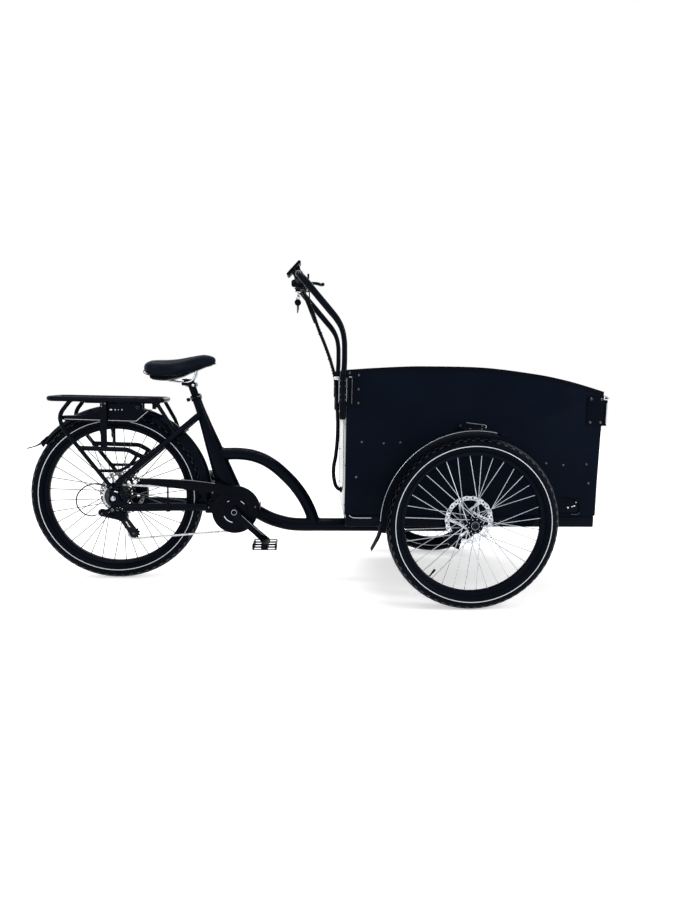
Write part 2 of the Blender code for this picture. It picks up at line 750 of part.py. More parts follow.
def build_cassette_and_chain():
    cassette = turned(cog_profile(), REAR_AXLE, 16, closed=True)
    finish_part("cassette", cassette, CHAIN_STEEL, REAR_AXLE)
    finish_part("chain", tube(run_of_chain(), CHAIN_R, cyclic=True), CHAIN_STEEL)


def build_pulleys():
    hole = bore(PULLEY_BOLT_R, 12)
    radius = pitch_radius(PULLEY_TEETH) - DISC_SINK
    for name, (x, z) in (("upper_pulley", UPPER_PULLEY), ("lower_pulley", LOWER_PULLEY)):
        centre = REAR_AXLE + Vector((x, CHAIN_Y_REAR, z))
        half = 0.0022
        boss = 0.0055
        profile = (
            (boss, hole), (boss, 0.006), (half, 0.007), (half, radius), (-half, radius),
            (-half, 0.007), (-boss, 0.006), (-boss, hole),
        )
        finish_part(name, turned(profile, centre, 12, closed=True), BLACK_PLASTIC, centre)


def dropout_outline(grow=0.0):
    z = REAR_TYRE_R
    return [
        (-0.020 - grow, z - 0.020 - grow), (0.004, z - 0.024 - grow),
        (0.050 + grow, CHAINSTAY_Z - 0.013 - grow), (0.054 + grow, CHAINSTAY_Z + 0.014),
        (0.030 + grow, z + 0.066 + grow), (-0.012 - grow, z + 0.060 + grow),
    ]


def dropout_shape(side, grow=0.0):
    faces = (side * (REAR_HUB_HALF - grow), side * (REAR_HUB_HALF + DROPOUT_THICK + grow))
    return plate([dropout_outline(grow)], faces)


def clear_of_stays(shape, side):
    """Cut a shape back from one side's stays and dropout."""
    return cut(shape, stay_shape(side, GAP), dropout_shape(side, GAP))


def build_derailleur():
    """Cage plates on both sides of the pulleys, and the body that hangs from the right dropout."""
    up = (UPPER_PULLEY[0], REAR_TYRE_R + UPPER_PULLEY[1])
    low = (LOWER_PULLEY[0], REAR_TYRE_R + LOWER_PULLEY[1])
    faces = [CHAIN_Y_REAR + offset for offset in (0.0080, 0.0060, -0.0060, -0.0080)]
    cage = gather(*(plate([link_outline(up, low, 0.012, 0.012)], y) for y in (faces[:2], faces[2:])))
    bolts = [rod((x, faces[0] - 0.001, z), (x, faces[3] + 0.001, z), PULLEY_BOLT_R) for x, z in (up, low)]
    knuckle = Vector((up[0] - 0.012, faces[2] - 0.011, up[1] + 0.004))
    link_foot = Vector((-0.045, -0.066, REAR_TYRE_R - 0.060))
    hanger = Vector((-0.004, -REAR_HUB_HALF - DROPOUT_THICK / 2, REAR_TYRE_R - 0.044))
    body = rod((up[0], faces[2] - 0.001, up[1]), (up[0], faces[2] - 0.021, up[1]), 0.014)
    arm = rod(knuckle, link_foot, 0.011, sides=8)
    link = rod(link_foot, hanger, 0.010, sides=8)
    lug = rod(hanger, (hanger.x, hanger.y, REAR_TYRE_R - 0.015), 0.0085, sides=8)
    shape = fuse(body, cage, *bolts, arm, link, lug)
    finish_part("derailleur", clear_of_stays(shape, -1), SATIN_BLACK)


def build_rear_cable():
    """The shift cable's loop from the right stay to the derailleur's link."""
    route = (
        (0.018, -0.0784, 0.358), (-0.008, -0.0815, 0.368), (-0.036, -0.0840, 0.388),
        (-0.070, -0.0840, 0.391), (-0.115, -0.0810, 0.370), (-0.138, -0.0770, 0.327),
        (-0.125, -0.0730, 0.284), (-0.088, -0.0690, 0.263), (-0.0585, -0.0662, 0.2690),
    )
    finish_part("rear_cable", tube(smooth(route, 2), 0.0025, sides=6), BLACK_PLASTIC)


# Frame

def motor_shape(grow=0.0):
    half, radius, chamfer = MOTOR_HALF + grow, MOTOR_R + grow, 0.010
    case = turned(
        (
            (half, 0.0), (half, radius - chamfer), (half - chamfer, radius),
            (chamfer - half, radius), (-half, radius - chamfer), (-half, 0.0),
        ),
        CRANK, 24,
    )
    yoke = box(
        (YOKE_X - grow, CRANK_X - 0.030), (-half, half), (YOKE_Z[0] - grow, YOKE_Z[1] + grow)
    )
    return fuse(case, yoke)


def seat_tube_shape(grow=0.0):
    """Plain above SEAT_FOOT and widening below it to an oval foot over the motor."""
    rings = []
    side_dir = Vector((0.0, 1.0, 0.0))
    front_dir = side_dir.cross(SEAT_LEAN)
    for distance, wide, deep in SEAT_TUBE_SHAPE:
        half_x = SEAT_TUBE_R + (SEAT_TUBE_FOOT_X - SEAT_TUBE_R) * wide + grow
        half_y = SEAT_TUBE_R + (SEAT_TUBE_FOOT_Y - SEAT_TUBE_R) * deep + grow
        centre = up_seat(distance)
        rings.append([
            centre + front_dir * (half_x * math.cos(a)) + side_dir * (half_y * math.sin(a))
            for a in (math.tau * i / 14 for i in range(14))
        ])
    return loft(rings, split=True)


def stay_shape(side, grow=0.0):
    """Seat stay and chainstay of one side, without the dropout."""
    y = side * CHAINSTAY_Y
    z = REAR_TYRE_R
    seat_stay = smooth(
        [
            (0.014, y, z + 0.059), (0.100, side * 0.066, z + 0.135), (0.190, side * 0.053, z + 0.214),
            (0.250, side * 0.0445, z + 0.266), (0.326, side * 0.020, z + 0.332),
        ],
        1,
    )
    chain_stay = smooth(
        [
            (0.036, y, CHAINSTAY_Z), (0.120, side * 0.068, CHAINSTAY_Z), (0.220, side * 0.058, CHAINSTAY_Z),
            (0.300, side * 0.050, CHAINSTAY_Z - 0.001), (YOKE_X + 0.024, side * 0.045, CHAINSTAY_Z - 0.003),
        ],
        1,
    )
    return gather(
        tube(seat_stay, SEATSTAY_R + grow, sides=10), tube(chain_stay, CHAINSTAY_R + grow, sides=10)
    )


def build_stays():
    for word, side in (("left", 1), ("right", -1)):
        outer = REAR_HUB_HALF + DROPOUT_THICK
        nut = rod(
            REAR_AXLE + Vector((0, side * (outer - 0.004), 0)),
            REAR_AXLE + Vector((0, side * (outer + 0.010), 0)), 0.010,
        )
        shape = fuse(dropout_shape(side), stay_shape(side), nut)
        shape = cut(shape, motor_shape(GAP), seat_tube_shape(GAP))
        finish_part("stays_" + word, shape, BLACK_PAINT)


def build_seat_tube():
    collar = rod(up_seat(COLLAR_FOOT), up_seat(COLLAR_FOOT + COLLAR_HEIGHT), COLLAR_R, sides=16)
    level = up_seat(COLLAR_FOOT + COLLAR_HEIGHT / 2)
    across = SEAT_LEAN.cross(Vector((0.0, 1.0, 0.0)))
    ear = Vector((0.0, -COLLAR_R - 0.002, 0.0))
    nut_end = level + ear - across * 0.026
    lever_end = level + ear + across * 0.021
    skewer = rod(nut_end, lever_end, 0.0035)
    nut = rod(nut_end, nut_end + across * 0.008, 0.007)
    lug = rod(level + ear - across * 0.010, level + ear + across * 0.010, 0.0075)
    hole = rod(up_seat(BORE_BOTTOM), up_seat(SEAT_TUBE_RISE + 0.05), bore(POST_R, 16), sides=16)
    shape = fuse(seat_tube_shape(), collar, lug, skewer, nut)
    shape = cut(shape, hole, motor_shape(GAP))
    finish_part("seat_tube", shape, BLACK_PAINT)
    build_seat_lever(lever_end, across)


def build_seat_lever(pivot_side, across):
    """Quick-release lever folded round the back of the collar."""
    pivot = pivot_side + across * (GAP + 0.006)
    barrel = rod(pivot - SEAT_LEAN * 0.007, pivot + SEAT_LEAN * 0.007, 0.006)
    tip = pivot + Vector((0.0, 0.048, 0.0)) + across * 0.004
    blade = rod(pivot, tip, 0.0045, 0.0055)
    finish_part("seat_clamp_lever", fuse(barrel, blade), SATIN_BLACK, pivot)


def main_tube_shape(grow=0.0):
    bend = smooth(on_plane(MAIN_ROUTE + ((MAIN_STRAIGHT_X, MAIN_TUBE_Z),)), 2)
    return tube([*bend, (STEER_X, 0.0, MAIN_TUBE_Z)], MAIN_TUBE_R + grow, sides=12)


def build_main_tube():
    foot, head = (STEER_X, 0.0, HEAD_TUBE_Z[0]), (STEER_X, 0.0, HEAD_TUBE_Z[1])
    head_tube = rod(foot, head, HEAD_TUBE_R, sides=20)
    hole = rod(
        (STEER_X, 0.0, HEAD_TUBE_Z[0] - 0.01), (STEER_X, 0.0, HEAD_TUBE_Z[1] + 0.01),
        bore(KINGPIN_R, 16), sides=16,
    )
    shape = cut(fuse(main_tube_shape(), head_tube), hole, motor_shape(GAP))
    finish_part("main_tube", shape, BLACK_PAINT)


def build_loop_tube():
    shape = tube(smooth(on_plane(LOOP_ROUTE), 2), LOOP_TUBE_R, sides=12)
    shape = cut(shape, seat_tube_shape(GAP), main_tube_shape(GAP))
    finish_part("loop_tube", shape, BLACK_PAINT)


def build_motor():
    reach = MOTOR_HALF + 0.01
    hole = rod(
        CRANK - Vector((0, reach, 0)), CRANK + Vector((0, reach, 0)), bore(SPINDLE_R, 16), sides=16
    )
    finish_part("motor_unit", cut(motor_shape(), hole), BLACK_PLASTIC)


def build_chain_guard():
    """Crescent over the chainring with a long tail over the chain, bolted to chainstay and main tube."""
    centre = (CRANK_X, CRANK_Z)
    outer = arc_points(centre, 0.102, math.radians(12), math.radians(98), 8)
    inner = arc_points(centre, 0.076, math.radians(95), math.radians(14), 7)
    top = [(0.385, 0.395), (0.289, 0.406), (0.095, 0.413)]
    bottom = [(0.108, 0.389), (0.281, 0.367), (0.400, 0.352)]
    y = (-0.0625, -0.0660)
    shade = plate([outer + top + bottom + inner], y)
    front_tab = box((0.5555, 0.5610), (y[0], -0.010), (0.265, 0.312))
    front_foot = box((0.5500, 0.5610), y, (0.290, 0.312))
    rear_tab = box((0.196, 0.212), y, (0.300, 0.380))
    shape = fuse(shade, front_tab, front_foot, rear_tab)
    shape = cut(shape, main_tube_shape(GAP), stay_shape(-1, GAP), motor_shape(GAP))
    finish_part("chain_guard", shape, BLACK_PLASTIC)


def build_rear_caliper():
    """Body straddling the rear rotor, with a foot on the left chainstay."""
    y = ROTOR_Y + ROTOR_THICK / 2
    z = REAR_TYRE_R
    body = box((0.056, 0.104), (y - 0.015, y + 0.015), (z - 0.016, z + 0.039))
    foot = box((0.066, 0.100), (y + 0.004, y + 0.026), (min(z - 0.033, CHAINSTAY_Z + 0.0025), z - 0.003))
    slot = box((0.0, ROTOR_R + 0.0015), (y - 0.0022, y + 0.0022), (z - 0.033, z + 0.067))
    shape = cut(fuse(body, foot), slot, stay_shape(1, GAP))
    finish_part("rear_caliper", shape, SATIN_BLACK)


# Seat

def build_seatpost():
    """Post with a two-part clamp head; the saddle's rails lie between its jaws."""
    jaw = RAIL_Z - RAIL_R - GAP
    lid = RAIL_Z + RAIL_R + GAP
    post = rod(up_seat(POST_BOTTOM), up_seat(POST_TOP), POST_R, sides=16)
    cradle = box((0.252, 0.306), (-HEAD_HALF, HEAD_HALF), (jaw - 0.013, jaw))
    barrel = rod((0.297, -HEAD_HALF, jaw - 0.0105), (0.297, HEAD_HALF, jaw - 0.0105), 0.0100)
    between = RAIL_Y - RAIL_R - GAP - 0.001
    link = box((0.258, 0.278), (-between, between), (jaw - 0.005, lid + 0.003))
    cap = box((0.254, 0.282), (-HEAD_HALF, HEAD_HALF), (lid, lid + 0.006))
    shape = fuse(post, cradle, barrel, link, cap)
    finish_part("seatpost", shape, SATIN_BLACK, up_seat(COLLAR_FOOT))


SADDLE_STATIONS = (
    (0.110, 0.050, 0.852, 0.821), (0.126, 0.092, 0.865, 0.806), (0.158, 0.108, 0.870, 0.790),
    (0.200, 0.104, 0.870, 0.790), (0.240, 0.082, 0.874, 0.799), (0.275, 0.052, 0.882, 0.813),
    (0.310, 0.036, 0.890, 0.836), (0.345, 0.031, 0.896, 0.844), (0.378, 0.021, 0.888, 0.856),
)
SADDLE_SECTION = (
    (0.0, 1.0), (0.60, 0.97), (0.96, 0.74), (0.93, 0.36), (0.80, 0.02), (0.40, 0.0),
)


def build_saddle():
    """Crowned cover that draws in towards its lower edge, on two rails."""
    rings = []
    for x, half, top, bottom in SADDLE_STATIONS:
        right = [(x, -half * w, bottom + (top - bottom) * h) for w, h in SADDLE_SECTION]
        left = [(px, -py, pz) for px, py, pz in reversed(right[1:])]
        rings.append(right + left)
    cover = loft(rings)
    subdivide = cover.modifiers.new("Subdivision", "SUBSURF")
    subdivide.levels = subdivide.render_levels = 1
    cover = settle(cover)
    rails = []
    route = (
        (0.188, 0.806), (0.200, RAIL_Z + 0.004), (0.214, RAIL_Z), (0.284, RAIL_Z),
        (0.296, RAIL_Z + 0.012), (0.308, 0.850),
    )
    for side in (-1, 1):
        rails.append(tube([(x, side * RAIL_Y, z) for x, z in route], RAIL_R))
    finish_part("saddle", fuse(cover, *rails), SADDLE_COVER, up_seat(POST_TOP))


# Rear fender, rack and battery

def build_rear_fender():
    centre = REAR_AXLE + Vector((FENDER_CENTRE[0], 0.0, FENDER_CENTRE[1]))
    half = REAR_FENDER_HALF
    section = [
        (half, REAR_FENDER_R - 0.016), (half * 0.72, REAR_FENDER_R - 0.004), (0.0, REAR_FENDER_R),
        (-half * 0.72, REAR_FENDER_R - 0.004), (-half, REAR_FENDER_R - 0.016),
    ]
    blade = arc_shell(section, centre, REAR_FENDER_ARC, 16, FENDER_THICK)
    flap = slat(FLAP_ROOT, FLAP_TIP, (-0.022, 0.022), 0.003)
    over = REAR_FENDER_R + 0.0033
    bridge_x = centre.x + over * math.cos(BRIDGE_ANGLE)
    bridge_z = centre.z + over * math.sin(BRIDGE_ANGLE)
    bridge = rod((bridge_x, -0.045, bridge_z), (bridge_x, 0.045, bridge_z), 0.006)
    shape = fuse(blade, flap, bridge)
    shape = cut(shape, stay_shape(1, GAP), stay_shape(-1, GAP))
    finish_part("rear_fender", shape, BLACK_PLASTIC)


def rack_side(side):
    """Leg, front leg and pannier loop of one side."""
    y = side * RACK_LEG_Y
    deck_y = side * DECK_Y
    z = REAR_TYRE_R
    leg = [
        (-0.158, deck_y, DECK_Z), (-0.178, side * 0.0845, DECK_Z - 0.018), (-0.193, y, DECK_Z - 0.043),
        (-0.197, y, DECK_Z - 0.070), (-0.192, y, DECK_Z - 0.098), (-0.006, y, z + 0.0475),
    ]
    front_leg = [
        (0.187, deck_y, DECK_Z), (0.232, side * 0.062, z + 0.303), (0.247, side * 0.050, z + 0.267),
    ]
    rail = [
        (-0.122, y, z + 0.196), (0.050, y, z + 0.192), (0.082, y, z + 0.182),
        (0.104, side * 0.079, z + 0.166), (0.124, side * 0.062, z + 0.156),
    ]
    hoop = [
        (-0.060, y, z + 0.116), (-0.010, y, z + 0.108), (0.030, y, z + 0.111), (0.062, y, z + 0.127),
        (0.086, y, z + 0.156), (0.094, y, z + 0.175),
    ]
    foot = (leg[-1][0], leg[-1][2])
    on_dropout = REAR_HUB_HALF + DROPOUT_THICK + GAP
    bolt = rod(
        (foot[0], side * (RACK_LEG_Y + 0.007), foot[1]), (foot[0], side * on_dropout, foot[1]),
        0.0065, sides=8,
    )
    bars = [tube(route, RACK_LEG_R, sides=6) for route in (leg, front_leg, hoop)]
    return [*bars, tube(rail, PANNIER_R, sides=6), bolt]


def build_rack():
    """Carrier deck with its legs, pannier rails, strap plate and battery dock."""
    rim = []
    for k, (x, y) in enumerate(((1, 1), (-1, 1), (-1, -1), (1, -1))):
        centre = (DECK_X[x > 0] - x * DECK_CORNER, y * (DECK_Y - DECK_CORNER))
        rim += arc_points(centre, DECK_CORNER, k * math.pi / 2, (k + 1) * math.pi / 2, 3)
    deck = tube([(x, y, DECK_Z) for x, y in rim], DECK_R, cyclic=True)
    slat_y, slat_z = DECK_Y - 0.003, DECK_Z - 0.001
    slats = [rod((x, -slat_y, slat_z), (x, slat_y, slat_z), 0.005, sides=6) for x in SLAT_X]
    strap = box(
        (-0.040, -0.015), (-RACK_LEG_Y + 0.0015, -RACK_LEG_Y - 0.003),
        (REAR_TYRE_R + 0.187, DECK_Z + 0.004),
    )
    dock = box((-0.150, 0.110), (-0.050, -DECK_Y), (BATTERY_Z[1] + GAP, DECK_Z - 0.0045))
    shape = fuse(deck, *slats, strap, dock, *rack_side(-1), *rack_side(1))
    shape = cut(shape, stay_shape(1, GAP), stay_shape(-1, GAP))
    finish_part("rear_rack", shape, BLACK_PAINT)


def build_battery():
    """Slim pack beside the fender, with a wedge tail and its lower front corner cut off."""
    x0, x1 = BATTERY_X
    z0, z1 = BATTERY_Z
    outline = [
        (x0, z0 + 0.012), (x0 + 0.020, z0), (0.078, z0), (x1, z0 + 0.042), (x1, z1 - 0.010),
        (x1 - 0.012, z1), (-0.100, z1), (x0, z0 + 0.030),
    ]
    finish_part("battery", plate([outline], BATTERY_Y), BLACK_PLASTIC)


# Cargo box

def build_box_sides():
    inner = BOX_HALF - PANEL
    outline = [(BOX_FRONT_X - 0.008, RAIL_TOP + GAP), *reversed(SIDE_TOP), (BOX_REAR_X, RAIL_TOP + GAP)]
    rear_x = (BOX_REAR_X + PANEL + 0.004, BOX_REAR_X + PANEL + REAR_BENCH_LENGTH - 0.03)
    front_x = (BOX_FRONT_X - PANEL - FRONT_BENCH_LENGTH + 0.03, BOX_FRONT_X - PANEL - 0.012)
    rear_z = REAR_BENCH_Z - BENCH_THICK / 2 - GAP
    front_z = FRONT_BENCH_Z - BENCH_THICK / 2 - GAP
    for word, side in (("left", 1), ("right", -1)):
        panel = plate([outline], (side * inner, side * BOX_HALF))
        cleats = [
            box(x, (side * (inner - CLEAT), side * (inner + 0.002)), (z - CLEAT, z))
            for x, z in ((rear_x, rear_z), (front_x, front_z))
        ]
        pocket = box(LAMP_X, (side * (BOX_HALF - POCKET_DEPTH), side * (BOX_HALF + 0.01)), LAMP_Z)
        shape = cut(fuse(panel, gather(*cleats)), pocket)
        finish_part("box_side_" + word, shape, BLACK_PANEL)


def build_box_panels():
    inner = BOX_HALF - PANEL - GAP
    rear = box((BOX_REAR_X, BOX_REAR_X + PANEL), (-inner, inner), (RAIL_TOP + GAP, REAR_TOP))
    grommet = rod(
        (BOX_REAR_X - 0.01, 0, GROMMET_Z), (BOX_REAR_X + PANEL + 0.01, 0, GROMMET_Z), bore(LOOM_R, 12)
    )
    finish_part("box_rear_panel", cut(rear, grommet), BLACK_PANEL)
    front = box((BOX_FRONT_X - PANEL, BOX_FRONT_X), (-inner, inner), (RAIL_TOP + GAP, FRONT_TOP))
    finish_part("box_front_panel", front, BLACK_PANEL)
    floor = box(
        (BOX_REAR_X + PANEL + GAP, BOX_FRONT_X - PANEL - GAP), (-inner, inner),
        (RAIL_TOP + GAP, RAIL_TOP + PANEL),
    )
    finish_part("box_floor", floor, BLACK_PANEL)


def build_benches():
    half = BOX_HALF - PANEL - 0.0015
    thick = BENCH_THICK / 2
    rear_x = BOX_REAR_X + PANEL + BENCH_HINGE_IN
    hinge_r = 0.0055
    rear = box(
        (rear_x, rear_x + REAR_BENCH_LENGTH), (-half, half), (REAR_BENCH_Z - thick, REAR_BENCH_Z + thick)
    )
    rear_hinge = rod((rear_x, -half + 0.03, REAR_BENCH_Z), (rear_x, half - 0.03, REAR_BENCH_Z), hinge_r)
    finish_part("rear_bench", fuse(rear, rear_hinge), BLACK_PANEL, (rear_x, 0.0, REAR_BENCH_Z))
    front_x = BOX_FRONT_X - PANEL - BENCH_HINGE_IN
    front = box(
        (front_x - FRONT_BENCH_LENGTH, front_x), (-half, half), (FRONT_BENCH_Z - thick, FRONT_BENCH_Z + thick)
    )
    front_hinge = rod((front_x, -half + 0.03, FRONT_BENCH_Z), (front_x, half - 0.03, FRONT_BENCH_Z), hinge_r)
    finish_part("front_bench", fuse(front, front_hinge), BLACK_PANEL, (front_x, 0.0, FRONT_BENCH_Z))


def build_chassis():
    """Base rails, axle beam with stub axles, and the kingpin that turns in the head tube."""
    x0, x1 = BOX_REAR_X + RAIL_SETBACK, BOX_FRONT_X - RAIL_SETBACK - 0.004
    half = BOX_HALF - RAIL_SETBACK
    z = (RAIL_BOTTOM, RAIL_TOP)
    ring = box((x0, x1), (-half, half), z)
    across = (RAIL_WIDTH - half, half - RAIL_WIDTH)
    through = (z[0] - 0.01, z[1] + 0.01)
    rear_bay = box((x0 + RAIL_WIDTH, BEAM_X[0] - 0.001), across, through)
    front_bay = box((BEAM_X[1] + 0.001, x1 - RAIL_WIDTH), across, through)
    beam = box(BEAM_X, (-BEAM_HALF, BEAM_HALF), BEAM_Z)
    pin_foot, pin_head = HEAD_TUBE_Z
    kingpin = rod((STEER_X, 0, pin_foot - 0.004), (STEER_X, 0, BEAM_Z[1] - 0.005), KINGPIN_R, sides=16)
    boss = rod((STEER_X, 0, pin_head + GAP), (STEER_X, 0, BEAM_Z[0] + 0.01), HEAD_TUBE_R, sides=20)
    nut = rod((STEER_X, 0, pin_foot - 0.018), (STEER_X, 0, pin_foot - GAP), 0.021, sides=6)
    carrier_x = (FRONT_AXLE_X - STUB_R - 0.006, FRONT_AXLE_X + STUB_R + 0.006)
    carrier_z = (min(BEAM_Z[0], FRONT_TYRE_R - STUB_R) + 0.001, max(BEAM_Z[1], FRONT_TYRE_R + STUB_R) + 0.002)
    stubs = []
    for side in (-1, 1):
        hub_end = side * (TRACK_HALF + FRONT_HUB_OUT + GAP)
        start = (FRONT_AXLE_X, side * (BEAM_HALF - 0.03), FRONT_TYRE_R)
        cap = (FRONT_AXLE_X, hub_end, FRONT_TYRE_R)
        stubs += [
            box(carrier_x, (side * (BEAM_HALF - 0.022), side * (BEAM_HALF - 0.001)), carrier_z),
            rod(start, (FRONT_AXLE_X, hub_end + side * 0.003, FRONT_TYRE_R), STUB_R),
            rod(cap, (FRONT_AXLE_X, hub_end + side * 0.005, FRONT_TYRE_R), 0.0125),
        ]
    shape = cut(ring, gather(rear_bay, front_bay))
    shape = fuse(shape, beam, kingpin, boss, nut, *stubs)
    finish_part("front_chassis", shape, BLACK_PAINT, (STEER_X, 0.0, HEAD_TUBE_Z[1]))


def build_corner_brackets():
    """Fittings on the box's front corners, each with a small nub ahead of its top."""
    for word, side in (("left", 1), ("right", -1)):
        face = side * (BOX_HALF + GAP)
        outer = side * (BOX_HALF + GAP + PLATE_THICK)
        wing = box((1.779, BOX_FRONT_X + 0.006), (face, outer), (0.663, 0.775))
        front = box((BOX_FRONT_X + GAP, 1.856), (side * (BOX_HALF - 0.028), outer), (0.663, 0.775))
        nub = box((1.850, NUB_X), (side * (BOX_HALF - 0.022), side * (BOX_HALF - 0.006)), (0.758, 0.773))
        finish_part("corner_bracket_" + word, fuse(wing, front, nub), SATIN_BLACK)


def build_front_fenders():
    half = FRONT_FENDER_HALF
    edge, crown = FRONT_FENDER_EDGE_R, FRONT_FENDER_R
    section = [
        (half, edge), (half * 0.72, crown - 0.006), (0.0, crown), (-half * 0.72, crown - 0.006),
        (-half, edge),
    ]
    for word, side in (("left", 1), ("right", -1)):
        axle = front_axle(side)
        blade = arc_shell(section, axle, FRONT_FENDER_ARC, 13, FENDER_THICK)
        start, end = FRONT_FENDER_ARC
        y = (axle.y - half * 0.7, axle.y + half * 0.7)
        nose_x = axle.x + crown * math.cos(start)
        nose_z = axle.z + crown * math.sin(start)
        lip = slat((nose_x - 0.010, nose_z + 0.002), (nose_x + 0.020, nose_z - 0.010), y, 0.003)
        tail_x = axle.x + (crown - 0.004) * math.cos(end - 0.03)
        tail_z = axle.z + (crown - 0.004) * math.sin(end - 0.03)
        flap = slat((tail_x, tail_z), (axle.x - 0.364, axle.z - 0.0914), y, 0.003)
        shelf_z = FRONT_TYRE_R + FRONT_FENDER_R - 0.004
        face = side * (BOX_HALF + GAP)
        shelf = box((1.293, 1.393), (face, axle.y - side * half * 0.3), (shelf_z, shelf_z + 0.005))
        flange = box((1.283, 1.403), (face, face + side * PLATE_THICK), (shelf_z, shelf_z + 0.0256))
        shape = fuse(blade, lip, flap, shelf, flange)
        finish_part("front_fender_" + word, shape, BLACK_PLASTIC)


def build_front_calipers():
    for word, side in (("left", 1), ("right", -1)):
        y = side * (TRACK_HALF - FRONT_ROTOR_Y)
        under = BEAM_Z[0]
        body = box((1.246, 1.318), (y - 0.014, y + 0.014), (under - 0.072, under - 0.022))
        foot_y = (side * (BEAM_HALF - 0.016), side * (BEAM_HALF - 0.0010))
        foot = box((1.300, 1.330), foot_y, (under - 0.048, under - GAP))
        slot = box((1.20, 1.40), (y - 0.0022, y + 0.0022), (under - 0.066, under + 0.016))
        shape = cut(fuse(body, foot), slot)
        finish_part("front_caliper_" + word, shape, SATIN_BLACK)


# Handlebar and what is on it

def build_handlebar():
    side = [(BAR_X, -BAR_Y, BAR_FOOT_Z)]
    side += [(BAR_X - back, -BAR_Y, z) for back, z in BAR_SIDE_ROUTE]
    bend = [(CROSSBAR_X + x, inward - BAR_Y, CROSSBAR_Z - down) for x, inward, down in BAR_BEND]
    half = side + bend
    path = half + mirrored(reversed(half))
    finish_part("handlebar", tube(path, BAR_R, sides=10), BLACK_PAINT)


def build_bar_clamps():
    """Clamp block round the bar's upright, and its plate on the box's side."""
    for word, side in (("left", 1), ("right", -1)):
        block_y = (side * (BAR_Y - 0.0165), side * (BAR_Y + 0.0165))
        block = box((BAR_X - 0.016, BOX_REAR_X - GAP), block_y, (0.728, 0.824))
        face = (side * (BOX_HALF + GAP), side * (BOX_HALF + GAP + PLATE_THICK))
        wing = box((BOX_REAR_X - 0.012, BOX_REAR_X + 0.052), face, (0.719, 0.842))
        hole = rod((BAR_X, side * BAR_Y, 0.70), (BAR_X, side * BAR_Y, 0.86), bore(BAR_R, 16), sides=16)
        finish_part("bar_clamp_" + word, cut(fuse(block, wing), hole), SATIN_BLACK)


def build_grips():
    hole = bore(BAR_R, 12)
    y0, y1 = GRIP_Y
    collar = GRIP_R + 0.001
    for word, side in (("left", 1), ("right", -1)):
        profile = [
            (y1, hole), (y1, collar), (y1 - 0.006, collar), (y1 - 0.010, GRIP_R - 0.001),
            (y0 + 0.010, GRIP_R - 0.001), (y0 + 0.006, collar), (y0, collar), (y0, hole),
        ]
        if side < 0:
            profile = [(-y, r) for y, r in reversed(profile)]
        shape = turned(profile, (CROSSBAR_X, 0.0, CROSSBAR_Z), 12, closed=True)
        finish_part("grip_" + word, shape, RUBBER)


def crossbar_rod(y0, y1, radius):
    """A round shape about the crossbar's axis."""
    return rod((CROSSBAR_X, y0, CROSSBAR_Z), (CROSSBAR_X, y1, CROSSBAR_Z), radius, sides=16)


def lever_pivot(side):
    return Vector((LEVER_PIVOT[0], side * LEVER_PIVOT[1], LEVER_PIVOT[2]))


def build_lever_mounts():
    """Clamp round the crossbar, and the fork that carries the brake lever's pivot pin."""
    for word, side in (("left", 1), ("right", -1)):
        pivot = lever_pivot(side)
        y = (side * MOUNT_Y[0], side * MOUNT_Y[1])
        inset = (side * (MOUNT_Y[0] + 0.002), side * (MOUNT_Y[1] - 0.002))
        arm = box((CROSSBAR_X + 0.008, pivot.x - 0.0085), inset, (pivot.z - 0.0095, pivot.z + 0.0095))
        fork_y = (side * (MOUNT_Y[0] + 0.004), side * (MOUNT_Y[1] - 0.004))
        prongs = [
            box((pivot.x - 0.012, pivot.x + 0.007), fork_y, (pivot.z + s * 0.0065, pivot.z + s * 0.0105))
            for s in (-1, 1)
        ]
        pin = rod(pivot - Vector((0, 0, 0.009)), pivot + Vector((0, 0, 0.009)), LEVER_PIN_R, sides=8)
        shape = fuse(crossbar_rod(*y, CLAMP_R), arm, *prongs, pin)
        if side < 0:
            shifter_x = (CROSSBAR_X - 0.007, CROSSBAR_X + 0.021)
            shifter = box(shifter_x, SHIFTER_Y, (CROSSBAR_Z - SHIFTER_DROP, CROSSBAR_Z - 0.008))
            shape = fuse(shape, crossbar_rod(SHIFTER_Y[0] - 0.004, y[0] - 0.001, CLAMP_R - 0.001), shifter)
        hole = crossbar_rod(side * 0.05, side * 0.13, bore(BAR_R, 16))
        finish_part("lever_mount_" + word, cut(shape, hole), SATIN_BLACK)


def build_brake_levers():
    """Blade in front of the grip, with an eye on the mount's pin."""
    for word, side in (("left", 1), ("right", -1)):
        pivot = lever_pivot(side)
        eye = rod(pivot - Vector((0, 0, 0.006)), pivot + Vector((0, 0, 0.006)), 0.0065)
        offsets = ((0.001, 0.0, 0.0), (0.030, 0.022, -0.003), (0.046, 0.062, -0.012), (0.052, 0.120, -0.018))
        blade = tube(smooth([pivot + Vector((x, side * y, z)) for x, y, z in offsets], 2), 0.0052)
        hole = rod(pivot - Vector((0, 0, 0.02)), pivot + Vector((0, 0, 0.02)), bore(LEVER_PIN_R, 8), sides=8)
        finish_part("brake_lever_" + word, cut(fuse(eye, blade), hole), SATIN_BLACK, pivot)


def build_shift_lever():
    """Thumb lever under the shifter's body on the right."""
    thick = 0.006
    top = CROSSBAR_Z - SHIFTER_DROP - GAP
    pivot = Vector((CROSSBAR_X + 0.007, (SHIFTER_Y[0] + SHIFTER_Y[1]) / 2, top))
    disc = rod(pivot, pivot - Vector((0, 0, thick)), 0.010)
    paddle_y = (pivot.y - 0.006, pivot.y + 0.006)
    paddle = box((pivot.x - 0.026, pivot.x), paddle_y, (top - 0.001, top - thick + 0.001))
    finish_part("shift_lever", fuse(disc, paddle), BLACK_PLASTIC, pivot)


